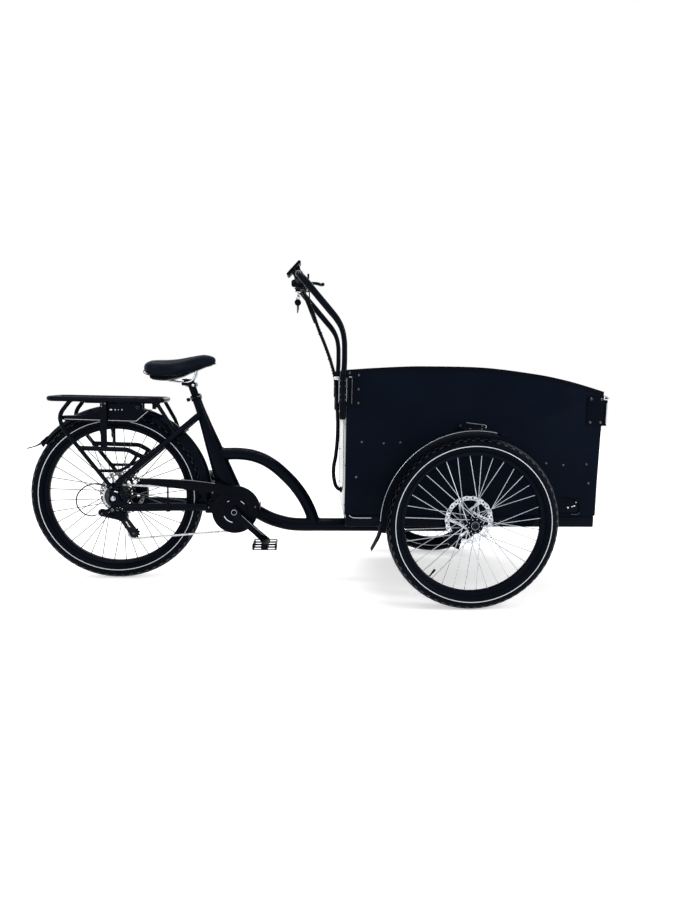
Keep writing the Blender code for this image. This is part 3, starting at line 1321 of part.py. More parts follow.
def build_display():
    """Slim display over the crossbar, with its clamp, and the key switch below."""
    x, z = CROSSBAR_X, CROSSBAR_Z
    case = slat((x + 0.004, z + 0.023), (x - 0.050, z + 0.081), (-0.045, 0.045), 0.012)
    neck = box((x - 0.017, x + 0.009), (-0.010, 0.010), (z + 0.006, z + 0.043))
    switch = rod((KEY_X, 0.0, z - 0.012), (KEY_X, 0.0, SWITCH_BOTTOM), 0.0105)
    loom_clip = rod((LOOM_TOP[0], 0.0, z - 0.007), (LOOM_TOP[0], 0.0, LOOM_TOP[1] + GAP), 0.0085)
    hole = crossbar_rod(-0.02, 0.02, bore(BAR_R, 16))
    shape = cut(fuse(case, crossbar_rod(-0.012, 0.012, CLAMP_R), neck, switch, loom_clip), hole)
    finish_part("display", shape, BLACK_PLASTIC)


def build_key():
    """Key head in the switch's underside, with a ring and a round fob."""
    top = SWITCH_BOTTOM - GAP
    stem = rod((KEY_X, 0.0, top), (KEY_X, 0.0, top - 0.010), 0.004, sides=8)
    head_z, fob_z = SWITCH_BOTTOM - 0.018, SWITCH_BOTTOM - 0.039
    head = rod((KEY_X, -0.002, head_z), (KEY_X, 0.002, head_z), 0.0095)
    link = rod((KEY_X, 0.0, head_z - 0.005), (KEY_X, 0.0, fob_z + 0.004), 0.0015, sides=6)
    fob = rod((KEY_X, -0.0025, fob_z), (KEY_X, 0.0025, fob_z), 0.0120, sides=14)
    blade = box((KEY_X - 0.0035, KEY_X + 0.0035), (-0.001, 0.001), (fob_z - 0.042, fob_z - 0.008))
    finish_part("key", fuse(head, stem, link, fob, blade), STEEL, (KEY_X, 0.0, top))


def build_loom():
    """Brake, motor and shift lines in one sleeve, from the bars down the box's back and through it."""
    path = on_plane((LOOM_TOP, (LOOM_TOP[0], LOOM_TOP[1] - 0.006))) + smooth(on_plane(LOOM_ROUTE), 2)
    path += [(BOX_REAR_X - 0.006, 0, GROMMET_Z), (BOX_REAR_X + 0.022, 0, GROMMET_Z)]
    sleeve = tube(path, LOOM_R, sides=6)
    collar = rod((BOX_REAR_X - 0.006, 0, GROMMET_Z), (BOX_REAR_X - GAP, 0, GROMMET_Z), 0.012)
    clip = box((BOX_REAR_X - 0.039, BOX_REAR_X - GAP), (-0.009, 0.009), (0.808, 0.822))
    finish_part("cable_loom", fuse(sleeve, collar, clip), BLACK_PLASTIC)


def build_all():
    build_wheels()
    build_cassette_and_chain()
    build_chainring()
    build_crank_arms()
    build_pedals()
    build_pulleys()
    build_derailleur()
    build_rear_cable()
    build_motor()
    build_main_tube()
    build_loop_tube()
    build_seat_tube()
    build_stays()
    build_chain_guard()
    build_rear_caliper()
    build_seatpost()
    build_saddle()
    build_rear_fender()
    build_rack()
    build_battery()
    build_box_sides()
    build_box_panels()
    build_benches()
    build_chassis()
    build_corner_brackets()
    build_front_fenders()
    build_front_calipers()
    build_handlebar()
    build_bar_clamps()
    build_grips()
    build_lever_mounts()
    build_brake_levers()
    build_shift_lever()
    build_display()
    build_key()
    build_loom()


build_all()
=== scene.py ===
from math import acos, atan2, copysign, cos, pi, radians, sin, sqrt, tau

import bmesh
import bpy
from mathutils import Matrix, Vector


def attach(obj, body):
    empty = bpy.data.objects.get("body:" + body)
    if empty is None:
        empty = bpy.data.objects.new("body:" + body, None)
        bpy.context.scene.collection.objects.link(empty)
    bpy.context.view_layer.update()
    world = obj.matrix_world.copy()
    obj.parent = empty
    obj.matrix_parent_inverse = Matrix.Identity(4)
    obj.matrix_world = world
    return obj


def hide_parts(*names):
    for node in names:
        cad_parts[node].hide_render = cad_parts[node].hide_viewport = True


# The cargo tricycle is drawn in the same lengths as its solids: X forward from the rear axle,
# Y to the rider's left, Z up from the ground. Each finished piece is then slid back by MIDDLE_X.

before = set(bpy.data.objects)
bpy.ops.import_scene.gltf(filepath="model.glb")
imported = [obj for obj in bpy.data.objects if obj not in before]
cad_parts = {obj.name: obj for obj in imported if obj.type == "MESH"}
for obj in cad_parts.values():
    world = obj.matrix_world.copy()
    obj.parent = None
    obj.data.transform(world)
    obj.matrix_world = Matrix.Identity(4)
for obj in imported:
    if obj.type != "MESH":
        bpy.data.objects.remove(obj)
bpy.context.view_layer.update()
MIDDLE_X = .7625
FRAME, BOX = "rear_frame", "front_box"
SIDES = (("left", 1), ("right", -1))
UP = (0, 0, 1)
ACROSS = Vector((0, 1, 0))

# Wheels
REAR_AXLE = (0, 0, .333)
REAR_TYRE = {"radius": .333, "width": .0535, "rim": .278, "stripe": .299}
FRONT_TYRE = {"radius": .3124, "width": .06, "rim": .26, "stripe": .2812}
FRONT_X = 1.34
TRACK = .4
RIM_WIDTH = .03
RIM_DEPTH = .014
SPOKE_R = .0015
ROTOR_R = .09

# Drive
CRANK = (.462, 0, .283)
CRANK_LENGTH = .17
CRANK_DOWN = radians(42.6)
LINK = .0127
COGS = ((28, -.0274), (24, -.034), (21, -.0402), (18, -.0449), (16, -.0497), (14, -.0544), (12, -.0591))
PULLEYS = {"upper_pulley": (.02, -.034, .255), "lower_pulley": (.065, -.034, .187)}

# Frame, seat and steering
SEAT_FOOT = Vector((.3208, 0, .678))
SEAT_LEAN = Vector((-.35, 0, 1)).normalized()
STEER_X = 1.36
CROSSBAR = (.707, 0, 1.183)
BAR_R = .0125


# Working on one shape at a time

def take(*objects):
  bpy.ops.object.select_all(action="DESELECT")
  for obj in objects:
    obj.select_set(True)
  bpy.context.view_layer.objects.active = objects[0]


def made():
  """The shape that Blender has just added or changed."""
  return bpy.context.active_object


def edit(obj, kind="FACE"):
  take(obj)
  bpy.ops.object.mode_set(mode="EDIT")
  bpy.ops.mesh.select_mode(type=kind)


def leave():
  bpy.ops.object.mode_set(mode="OBJECT")


def settle(obj):
  take(obj)
  bpy.ops.object.transform_apply(location=True, rotation=True, scale=True)
  return obj


def tidy(obj, merge=.00002):
  """Merges doubled points and turns all faces outwards."""
  edit(obj, "VERT")
  bpy.ops.mesh.select_all(action="SELECT")
  bpy.ops.mesh.remove_doubles(threshold=merge)
  bpy.ops.mesh.normals_make_consistent(inside=False)
  leave()
  return obj


def apply_all(obj):
  take(obj)
  for modifier in list(obj.modifiers):
    bpy.ops.object.modifier_apply(modifier=modifier.name)
  return obj


def scrap(*objects):
  for obj in objects:
    bpy.data.objects.remove(obj, do_unlink=True)


def cut_out(obj, *tools):
  """Takes the tools' shapes out of obj."""
  for tool in tools:
    modifier = obj.modifiers.new("cut", "BOOLEAN")
    modifier.operation = "DIFFERENCE"
    modifier.solver = "EXACT"
    modifier.object = tool
  apply_all(obj)
  scrap(*tools)
  return obj


def join(*objects):
  take(*objects)
  if len(objects) > 1:
    bpy.ops.object.join()
  return bpy.context.view_layer.objects.active


def copy_of(obj, matrix=None):
  """A copy with its own mesh, moved by a matrix."""
  twin = obj.copy()
  twin.data = obj.data.copy()
  bpy.context.scene.collection.objects.link(twin)
  if matrix is not None:
    twin.data.transform(matrix)
  return twin


def turn_y(angle, centre=(0, 0, 0)):
  """A turn about a line along Y; positive lifts the front."""
  centre = Vector(centre)
  return Matrix.Translation(centre) @ Matrix.Rotation(-angle, 4, "Y") @ Matrix.Translation(-centre)


def ring_of(obj, count, centre=(0, 0, 0), angle=tau):
  """The shape repeated round a line along Y."""
  copies = [copy_of(obj, turn_y(angle * i / count, centre)) for i in range(1, count)]
  return join(obj, *copies)


def block(x, y, z, round_by=0, segments=2):
  """A block between two values on each axis, with its edges rounded."""
  low = Vector((min(x), min(y), min(z)))
  high = Vector((max(x), max(y), max(z)))
  bpy.ops.mesh.primitive_cube_add(size=1, location=(low + high) / 2, scale=high - low)
  obj = settle(made())
  if round_by:
    edit(obj, "EDGE")
    bpy.ops.mesh.select_all(action="SELECT")
    bpy.ops.mesh.bevel(offset=round_by, segments=segments, affect="EDGES")
    leave()
  return obj


def as_direction(along):
  return Vector((0, along, 0)) if isinstance(along, int) else Vector(along)


def aim(obj, start, end):
  """Stands a shape drawn along +Z on start, pointing to end."""
  start, end = Vector(start), Vector(end)
  turn = (end - start).to_track_quat("Z", "Y").to_matrix().to_4x4()
  obj.data.transform(Matrix.Translation(start) @ turn)
  return obj


def mm2(*numbers):
  """Places of two lengths each, from millimetres."""
  return [(a / 1000, b / 1000) for a, b in zip(numbers[::2], numbers[1::2])]


def mm3(*numbers, side=1):
  """Places of three lengths each, from millimetres; side -1 puts them on the right."""
  return [(x / 1000, side * y / 1000, z / 1000) for x, y, z in zip(numbers[::3], numbers[1::3], numbers[2::3])]


def turned(profile, centre, sides=48, closed=False, along=1):
  """A round body drawn out ring by ring through (place, radius); along is a direction or a sign for Y."""
  place, radius = profile[0]
  bpy.ops.mesh.primitive_circle_add(vertices=sides, radius=radius, location=(0, 0, place))
  obj = settle(made())
  edit(obj, "VERT")
  bpy.ops.mesh.select_all(action="SELECT")
  if not closed:
    bpy.ops.mesh.edge_face_add()
  rings = profile[1:] + (profile[:1] if closed else [])
  for next_place, next_radius in rings:
    bpy.ops.mesh.extrude_region_move(TRANSFORM_OT_translate={"value": (0, 0, next_place - place)})
    share = next_radius / radius
    bpy.ops.transform.resize(value=(share, share, 1), center_override=(0, 0, next_place))
    place, radius = next_place, next_radius
  leave()
  tidy(obj, .000005)
  return aim(obj, centre, Vector(centre) + as_direction(along))


def hollow(profile, centre, sides=48, along=1):
  return turned(profile, centre, sides, True, along)


def rod(start, end, radius, round_by=0, sides=24, end_radius=None):
  """A round bar between two points with its ends eased, tapered if end_radius is given."""
  length = (Vector(end) - Vector(start)).length
  tip = radius if end_radius is None else end_radius
  if round_by:
    profile = [(0, radius - round_by), (round_by * .3, radius - round_by * .3), (round_by, radius),
        (length - round_by, tip), (length - round_by * .3, tip - round_by * .3), (length, tip - round_by)]
  else:
    profile = [(0, radius), (length, tip)]
  obj = turned(profile, (0, 0, 0), sides, along=UP)
  return aim(obj, start, end)


def pipe(points, radius, rounds=6, smoothness=8, closed=False, widths=None, corner="AUTO"):
  """A round tube along a smooth line through the points; widths are shares of the radius."""
  bpy.ops.curve.primitive_bezier_curve_add(location=(0, 0, 0))
  obj = made()
  curve = obj.data
  curve.dimensions = "3D"
  line = curve.splines[0]
  line.bezier_points.add(len(points) - 2)
  for i, (knot, place) in enumerate(zip(line.bezier_points, points)):
    knot.co = place
    knot.handle_left_type = knot.handle_right_type = corner
    knot.radius = widths[i] if widths else 1
  line.use_cyclic_u = closed
  curve.resolution_u = smoothness
  curve.bevel_depth = radius
  curve.bevel_resolution = rounds
  curve.use_fill_caps = True
  curve.twist_mode = "MINIMUM"
  take(obj)
  bpy.ops.object.convert(target="MESH")
  return tidy(made(), .000005)


def bent(points, radius, bend=.012, rounds=6, steps=5):
  """A round tube with straight runs and rounded bends through the points."""
  points = [Vector(p) for p in points]
  line = [points[0]]
  for before, corner, after in zip(points, points[1:], points[2:]):
    reach = min(bend, (before - corner).length * .48, (after - corner).length * .48)
    a = corner + (before - corner).normalized() * reach
    b = corner + (after - corner).normalized() * reach
    line += [a.lerp(corner, t).lerp(corner.lerp(b, t), t) for t in (k / (steps - 1) for k in range(steps))]
  return pipe(line + points[-1:], radius, rounds, 1, corner="VECTOR")


def plate(outlines, y, round_by=0, rounds=2):
  """A flat piece between two y values from (x, z) outlines, the holes after the outside."""
  bpy.ops.curve.primitive_bezier_curve_add(location=(0, 0, 0))
  obj = made()
  curve = obj.data
  curve.dimensions = "2D"
  curve.splines.clear()
  for outline in outlines:
    line = curve.splines.new("POLY")
    line.points.add(len(outline) - 1)
    for knot, (x, z) in zip(line.points, outline):
      knot.co = (x, z, 0, 1)
    line.use_cyclic_u = True
  curve.fill_mode = "BOTH"
  thick = abs(y[1] - y[0])
  curve.extrude = thick / 2 - round_by
  if round_by:
    curve.bevel_depth = round_by
    curve.bevel_resolution = rounds
    curve.offset = -round_by
  take(obj)
  bpy.ops.object.convert(target="MESH")
  obj = made()
  obj.data.transform(Matrix.Translation((0, (y[0] + y[1]) / 2, 0)) @ Matrix.Rotation(pi / 2, 4, "X"))
  return tidy(obj, .000005)


def circle(centre, radius, count=32, start=0):
  return [(centre[0] + radius * cos(start + tau * i / count), centre[1] + radius * sin(start + tau * i / count))
      for i in range(count)]


def arc(centre, radius, start, end, count):
  angles = [start + (end - start) * i / (count - 1) for i in range(count)]
  return [(centre[0] + radius * cos(a), centre[1] + radius * sin(a)) for a in angles]


def link(a, b, radius_a, radius_b, count=12):
  """Outline of a flat link with round ends about two (x, z) points."""
  heading = atan2(b[1] - a[1], b[0] - a[0])
  quarter = pi / 2
  far = arc(b, radius_b, heading - quarter, heading + quarter, count)
  return far + arc(a, radius_a, heading + quarter, heading + 3 * quarter, count)


def rounded(corners, radius, count=5):
  """An outline with each corner rounded."""
  outline = []
  for i, corner in enumerate(corners):
    corner = Vector(corner)
    before, after = Vector(corners[i - 1]), Vector(corners[(i + 1) % len(corners)])
    reach = min(radius, (before - corner).length * .45, (after - corner).length * .45)
    a = corner + (before - corner).normalized() * reach
    b = corner + (after - corner).normalized() * reach
    for k in range(count):
      t = k / (count - 1)
      outline.append(tuple(a * (1 - t) ** 2 + corner * 2 * t * (1 - t) + b * t ** 2))
  return outline


def skin(rings):
  """A body drawn out ring by ring: each extruded loop's points are moved to the next ring."""
  bpy.ops.mesh.primitive_circle_add(vertices=len(rings[0]), radius=1, location=(0, 0, 0))
  obj = made()
  for corner, place in zip(obj.data.vertices, rings[0]):
    corner.co = place
  edit(obj, "VERT")
  bpy.ops.mesh.select_all(action="SELECT")
  bpy.ops.mesh.edge_face_add()
  for before, after in zip(rings, rings[1:]):
    bpy.ops.mesh.extrude_region_move(TRANSFORM_OT_translate={"value": (0, 0, 0)})
    mesh = bmesh.from_edit_mesh(obj.data)
    for corner in [v for v in mesh.verts if v.select]:
      nearest = min(range(len(before)), key=lambda i: (Vector(before[i]) - corner.co).length_squared)
      corner.co = after[nearest]
    bmesh.update_edit_mesh(obj.data)
  leave()
  return tidy(obj)


def finish(name, body, material, shapes, stands_for=(), sharp=32):
  """Joins the shapes into one named piece and hangs it on the body that carries it."""
  obj = join(*shapes)
  obj.name = name
  obj.data.name = name
  obj.data.materials.clear()
  obj.data.materials.append(material)
  for face in obj.data.polygons:
    face.material_index = 0
  obj.data.transform(Matrix.Translation((-MIDDLE_X, 0, 0)))
  take(obj)
  bpy.ops.object.shade_smooth_by_angle(angle=radians(sharp))
  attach(obj, body)
  if stands_for:
    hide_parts(*stands_for)
  return obj


# Effects that several finishes share

def put(tree, value, socket):
  """Sets a socket to a value, or links another node's outlet to it."""
  if isinstance(value, bpy.types.NodeSocket):
    tree.links.new(value, socket)
  else:
    socket.default_value = value


def add_node(tree, kind, **values):
  node = tree.nodes.new("ShaderNode" + kind)
  for label, value in values.items():
    put(tree, value, node.inputs[label.replace("_", " ")])
  return node


def new_effect(name, result, **values):
  """A node group that takes a place and numbers; returns its tree, its inlets and its one outlet."""
  tree = bpy.data.node_groups.new(name, "ShaderNodeTree")
  tree.interface.new_socket(name="Place", in_out="INPUT", socket_type="NodeSocketVector")
  for label, value in values.items():
    tree.interface.new_socket(name=label, in_out="INPUT", socket_type="NodeSocketFloat").default_value = value
  tree.interface.new_socket(name=result, in_out="OUTPUT", socket_type="NodeSocketFloat")
  return tree, tree.nodes.new("NodeGroupInput").outputs, tree.nodes.new("NodeGroupOutput").inputs[result]


def ramp_between(tree, source, low, high, out_low=0, out_high=1):
  """Spreads a value from one range to another."""
  node = add_node(tree, "MapRange", Value=source, From_Min=low, From_Max=high, To_Min=out_low, To_Max=out_high)
  node.interpolation_type = "SMOOTHSTEP"
  return node.outputs["Result"]


def reckon(tree, operation, first, second):
  """One sum or product of two values, either of them an outlet or a number."""
  node = tree.nodes.new("ShaderNodeMath")
  node.operation = operation
  put(tree, first, node.inputs[0])
  put(tree, second, node.inputs[1])
  return node.outputs["Value"]


def noise(tree, place, scale, detail=3, rough=.55):
  node = add_node(tree, "TexNoise", Vector=place, Scale=scale, Detail=detail, Roughness=rough)
  return node.outputs["Fac"]


def make_handled_sheen():
  """Faint uneven gloss, as on a coat that has been wiped."""
  tree, takes, gives = new_effect("handled_sheen", "Roughness", Gloss=.4, Spread=.08)
  broad = noise(tree, takes["Place"], 7, 4)
  fine = noise(tree, takes["Place"], 90, 2)
  both = reckon(tree, "ADD", reckon(tree, "MULTIPLY", broad, .7), reckon(tree, "MULTIPLY", fine, .3))
  swing = reckon(tree, "SUBTRACT", ramp_between(tree, both, .35, .65), .5)
  swing = reckon(tree, "MULTIPLY", swing, takes["Spread"])
  put(tree, reckon(tree, "ADD", takes["Gloss"], swing), gives)
  return tree


def make_rubbed_edge():
  """Where a corner sticks out and loses its coat."""
  tree, takes, gives = new_effect("rubbed_edge", "Mask", Amount=.5)
  shape = tree.nodes.new("ShaderNodeNewGeometry")
  sharp = ramp_between(tree, shape.outputs["Pointiness"], .53, .62)
  broken = ramp_between(tree, noise(tree, takes["Place"], 60, 4), .38, .62)
  mask = reckon(tree, "MULTIPLY", sharp, reckon(tree, "ADD", reckon(tree, "MULTIPLY", broken, .6), .4))
  put(tree, reckon(tree, "MULTIPLY", mask, takes["Amount"]), gives)
  return tree


def make_road_dust():
  """A thin film that lies on upper faces and thickens in patches."""
  tree, takes, gives = new_effect("road_dust", "Mask", Amount=.1)
  shape = tree.nodes.new("ShaderNodeNewGeometry")
  split = add_node(tree, "SeparateXYZ", Vector=shape.outputs["Normal"])
  lies = ramp_between(tree, split.outputs["Z"], -.2, 1, .15, 1)
  patch = ramp_between(tree, noise(tree, takes["Place"], 11, 6, .65), .4, .72)
  put(tree, reckon(tree, "MULTIPLY", reckon(tree, "MULTIPLY", lies, patch), takes["Amount"]), gives)
  return tree


def make_grain():
  """Small bumps: the texture of moulded plastic, rubber, powder coat or a seat cover."""
  tree, takes, gives = new_effect("grain", "Height", Size=.001, Softness=.5)
  cells = tree.nodes.new("ShaderNodeTexVoronoi")
  cells.feature = "SMOOTH_F1"
  put(tree, takes["Place"], cells.inputs["Vector"])
  put(tree, reckon(tree, "DIVIDE", 1, takes["Size"]), cells.inputs["Scale"])
  put(tree, takes["Softness"], cells.inputs["Smoothness"])
  put(tree, cells.outputs["Distance"], gives)
  return tree


EFFECTS = {"sheen": make_handled_sheen(), "edge": make_rubbed_edge(), "dust": make_road_dust(),
    "grain": make_grain()}


def place_effect(tree, kind, **values):
  """Puts a shared effect into a finish and returns its outlet."""
  node = tree.nodes.new("ShaderNodeGroup")
  node.node_tree = EFFECTS[kind]
  for label, value in values.items():
    put(tree, value, node.inputs[label])
  return node.outputs[0]


def mix_colours(tree, share, first, second):
  node = tree.nodes.new("ShaderNodeMix")
  node.data_type = "RGBA"
  for i, value in ((0, share), (6, first), (7, second)):
    put(tree, (*value, 1) if isinstance(value, tuple) else value, node.inputs[i])
  return node.outputs[2]


def coated(name, colour, shade, gloss, spread=.08, metal=0, shine=.5, coat=0, edge=None, wear=0, dust=0,
    film=(.05, .052, .056), grain=None, depth=0, stretch=(1, 1, 1)):
  """A finish: two close colours in broad patches, uneven gloss, rubbed edges, dust and a fine grain."""
  material = bpy.data.materials.new(name)
  material.use_nodes = True
  tree = material.node_tree
  surface = tree.nodes["Principled BSDF"].inputs
  where = tree.nodes.new("ShaderNodeTexCoord").outputs["Object"]
  place = add_node(tree, "Mapping", Vector=where, Location=(.11, .07, .05), Scale=stretch).outputs["Vector"]
  paint = mix_colours(tree, ramp_between(tree, noise(tree, place, 5, 5), .35, .65), colour, shade)
  if wear:
    paint = mix_colours(tree, place_effect(tree, "edge", Place=place, Amount=wear), paint, edge)
  if dust:
    paint = mix_colours(tree, place_effect(tree, "dust", Place=place, Amount=dust), paint, film)
  sheen = place_effect(tree, "sheen", Place=place, Gloss=gloss, Spread=spread)
  for label, value in (("Base Color", paint), ("Roughness", sheen), ("Metallic", metal),
      ("Specular IOR Level", shine), ("Coat Weight", coat), ("Coat Roughness", .12)):
    put(tree, value, surface[label])
  if grain:
    height = place_effect(tree, "grain", Place=place, Size=grain)
    bump = add_node(tree, "Bump", Strength=.6, Distance=depth, Height=height)
    put(tree, bump.outputs["Normal"], surface["Normal"])
  return material


GLOSS = coated("gloss_black_paint", (.0013, .0027, .0066), (.0019, .0036, .008), .16, .06,
    shine=.035, edge=(.03, .034, .042), wear=.05, dust=.02)
SATIN = coated("satin_black_anodised", (.001, .0022, .0058), (.0016, .003, .007), .22, .08,
    shine=.035, edge=(.06, .066, .08), wear=.04, dust=.01)
PANEL_BLACK = coated("box_panel_black", (.002, .004, .0092), (.0029, .0053, .0112), .5, .1,
    shine=.02, edge=(.03, .034, .042), wear=.04, dust=.01, grain=.0016, depth=.0001)
WALL_BLACK = coated("rear_wall_lacquer", (.003, .005, .0098), (.0042, .0063, .0118), .16, .06,
    shine=.35, dust=.02)
PLASTIC = coated("moulded_black_plastic", (.001, .0018, .0044), (.0016, .0026, .0056), .36, .12,
    shine=.035, edge=(.03, .032, .036), wear=.06, dust=.02, grain=.0011, depth=.00008)
TYRE_RUBBER = coated("tyre_rubber", (.0013, .0023, .0054), (.0021, .0033, .0066), .6, .1, shine=.03,
    edge=(.04, .043, .05), wear=.12, dust=.03, grain=.0018, depth=.00014)
FENDER_BLACK = coated("fender_black_plastic", (.0007, .0014, .0038), (.0012, .0021, .005), .32,
    .08, shine=.015, dust=.006)
TREAD_RUBBER = coated("tread_block_rubber", (.004, .005, .008), (.007, .008, .011), .4, .1, shine=.3,
    edge=(.16, .165, .18), wear=.1, dust=.04, grain=.0018, depth=.00008)
GRIP_RUBBER = coated("grip_rubber", (.0013, .0021, .0048), (.0021, .0031, .006), .58, .1,
    shine=.04, dust=.02, grain=.0012, depth=.0002)
VINYL = coated("saddle_vinyl", (.002, .004, .0094), (.0029, .0052, .0112), .34, .1, shine=.05,
    dust=.01, grain=.0014, depth=.00014)
CABLE = coated("cable_sheath_black", (.0013, .0021, .0048), (.0021, .0031, .006), .28, .1,
    shine=.06, dust=.01)
DARK_GLASS = coated("dark_display_glass", (.002, .003, .005), (.003, .004, .007), .1, .06,
    shine=.22)
DARK_STEEL = coated("blackened_steel", (.005, .006, .009), (.009, .01, .013), .28, .14, metal=.9,
    shine=.1, edge=(.3, .31, .33), wear=.14, dust=.02)
SCREWS = coated("dark_screw_steel", (.1, .104, .115), (.05, .052, .058), .22, .12, metal=1,
    edge=(.5, .51, .53), wear=.3)
LEVER_ALLOY = coated("dark_lever_alloy", (.09, .092, .1), (.14, .142, .15), .22, .1, metal=1,
    edge=(.5, .5, .52), wear=.5, dust=.02)
CHAIN_STEEL = coated("oiled_chain_steel", (.3, .31, .33), (.16, .163, .17), .28, .16, metal=1,
    edge=(.66, .67, .69), wear=.6, dust=.03)
BRIGHT_STEEL = coated("polished_steel", (.6, .62, .65), (.5, .52, .55), .2, .12, metal=1, dust=.03)
SPOKE_STEEL = coated("drawn_spoke_steel", (.46, .49, .54), (.36, .39, .43), .24, .12, metal=1,
    dust=.02)
BLACK_SPOKE = coated("blackened_spoke_steel", (.06, .066, .08), (.04, .044, .054), .26, .12, metal=1,
    dust=.02)
ROTOR_STEEL = coated("ground_rotor_steel", (.66, .68, .71), (.54, .56, .59), .28, .14, metal=1,
    dust=.03)
SILVER = coated("brushed_silver_alloy", (.58, .6, .63), (.5, .52, .55), .27, .12, metal=1, dust=.03,
    stretch=(1, .15, 1))
STRIPE_WHITE = coated("reflecting_stripe", (.72, .75, .78), (.62, .65, .68), .45, .15, dust=.08)
WHITE_LENS = coated("white_lens", (.78, .79, .8), (.7, .71, .73), .22, .06, coat=.5)


# Wheels

def make_tyre(name, body, axle, size, node):
  """Casing with a rounded section, tread blocks, and a reflecting stripe on both walls."""
  radius, half, seat = size["radius"], size["width"] / 2, size["rim"]
  tread = .0022
  middle = seat + .45 * (radius - seat)
  up, down = radius - tread - middle, middle - seat
  section = []
  for i in range(29):
    t = radians(-152 + 304 * i / 28)
    section.append((half * sin(t), middle + (up if cos(t) > 0 else down) * cos(t)))
  section += [(.0116, seat - .004), (-.0116, seat - .004)]
  casing = hollow(section, axle, 120)
  rows = []
  count = 64
  for degrees, wide, long, shift in ((0, .007, .02, 0), (15, .0062, .015, .5), (-15, .0062, .015, .5),
      (31, .0062, .017, 0), (-31, .0062, .017, 0), (47, .0072, .013, .5), (-47, .0072, .013, .5)):
    t = radians(degrees)
    lean = atan2(sin(t) / half, cos(t) / up)
    knob = block((-long / 2, long / 2), (-wide / 2, wide / 2), (-.0016, tread * .98), .0007, 1)
    knob.data.transform(Matrix.Rotation(-lean, 4, "X"))
    height = middle + up * cos(t)
    knob.data.transform(Matrix.Translation((axle[0], axle[1] + half * sin(t), axle[2] + height)))
    knob.data.transform(turn_y(tau * shift / count, axle))
    rows.append(ring_of(knob, count, axle))
  finish(name, body, TYRE_RUBBER, [casing], [node])
  finish(name + "_tread", body, TREAD_RUBBER, rows)
  stripe = size["stripe"]
  t = acos((stripe - middle) / down)
  wall = half * sin(t)
  bands = []
  for side in (-1, 1):
    edge = [(side * (wall - .0006), stripe - .0015), (side * (wall + .0004), stripe - .0012),
        (side * (wall + .0004), stripe + .0012), (side * (wall - .0006), stripe + .0015)]
    bands.append(hollow(edge, axle, 120))
  finish(name + "_stripe", body, STRIPE_WHITE, bands)


def make_rim(name, body, axle, radius, node):
  """Double-walled rim with hooked edges; the nipples and the capped valve come with the spokes."""
  inner = radius - RIM_DEPTH
  half = RIM_WIDTH / 2
  right = [(half - .0004, radius + .0006), (half, radius - .0004), (half - .0002, radius - .0042),
      (half - .0014, radius - .0062), (half - .0024, radius - .0092), (half - .0052, inner + .0012),
      (half - .008, inner + .0002)]
  well = [(half - .0026, radius - .005), (half - .0026, radius - .0012), (half - .0016, radius + .0004)]
  section = right + [(-y, r) for y, r in reversed(right)]
  section += [(-y, r) for y, r in reversed(well)] + well
  rim = hollow(section, axle, 120)
  finish(name + "_rim", body, SATIN, [rim], [node])


def lace(name, body, axle, rim_radius, flanges, steel_finish, valve_at):
  """Spokes with their bent heads in both flanges and their nipples in the rim."""
  steel, nipples = [], []
  inner = rim_radius - RIM_DEPTH
  for i in range(4):
    flange = flanges[i % 2]
    lean = 1 if (i // 2) % 2 else -1
    at_rim = tau * (i + .5) / 36
    at_hub = at_rim + lean * radians(60)
    head_y = flange + lean * .0024
    start = Vector((.0235 * cos(at_hub), head_y, .0235 * sin(at_hub)))
    end_r = inner + .004
    end = Vector((end_r * cos(at_rim), lean * .0012, end_r * sin(at_rim)))
    start += Vector(axle)
    end += Vector(axle)
    wire = rod(start, end, SPOKE_R, sides=8)
    head = rod(start, start + Vector((0, lean * .0016, 0)), .0021, .0005, 10)
    toward = (start - end).normalized()
    nipple = rod(end, end + toward * .015, .0021, .0004, 6, end_radius=.0016)
    steel += [ring_of(wire, 9, axle), ring_of(head, 9, axle)]
    nipples.append(ring_of(nipple, 9, axle))
  finish(name + "_spokes", body, steel_finish, steel)
  valve_angle = radians(valve_at)
  out = Vector((cos(valve_angle), 0, sin(valve_angle)))
  foot = Vector(axle) + out * (inner + .001)
  stem = rod(foot, foot - out * .02, .003, .0006, 16)
  nut = rod(foot, foot - out * .003, .0058, .0005, 6)
  finish(name + "_nipples", body, steel_finish, nipples + [nut])
  cap = rod(foot - out * .018, foot - out * .034, .0042, .0012, 12)
  finish(name + "_valve", body, PLASTIC, [stem, cap])


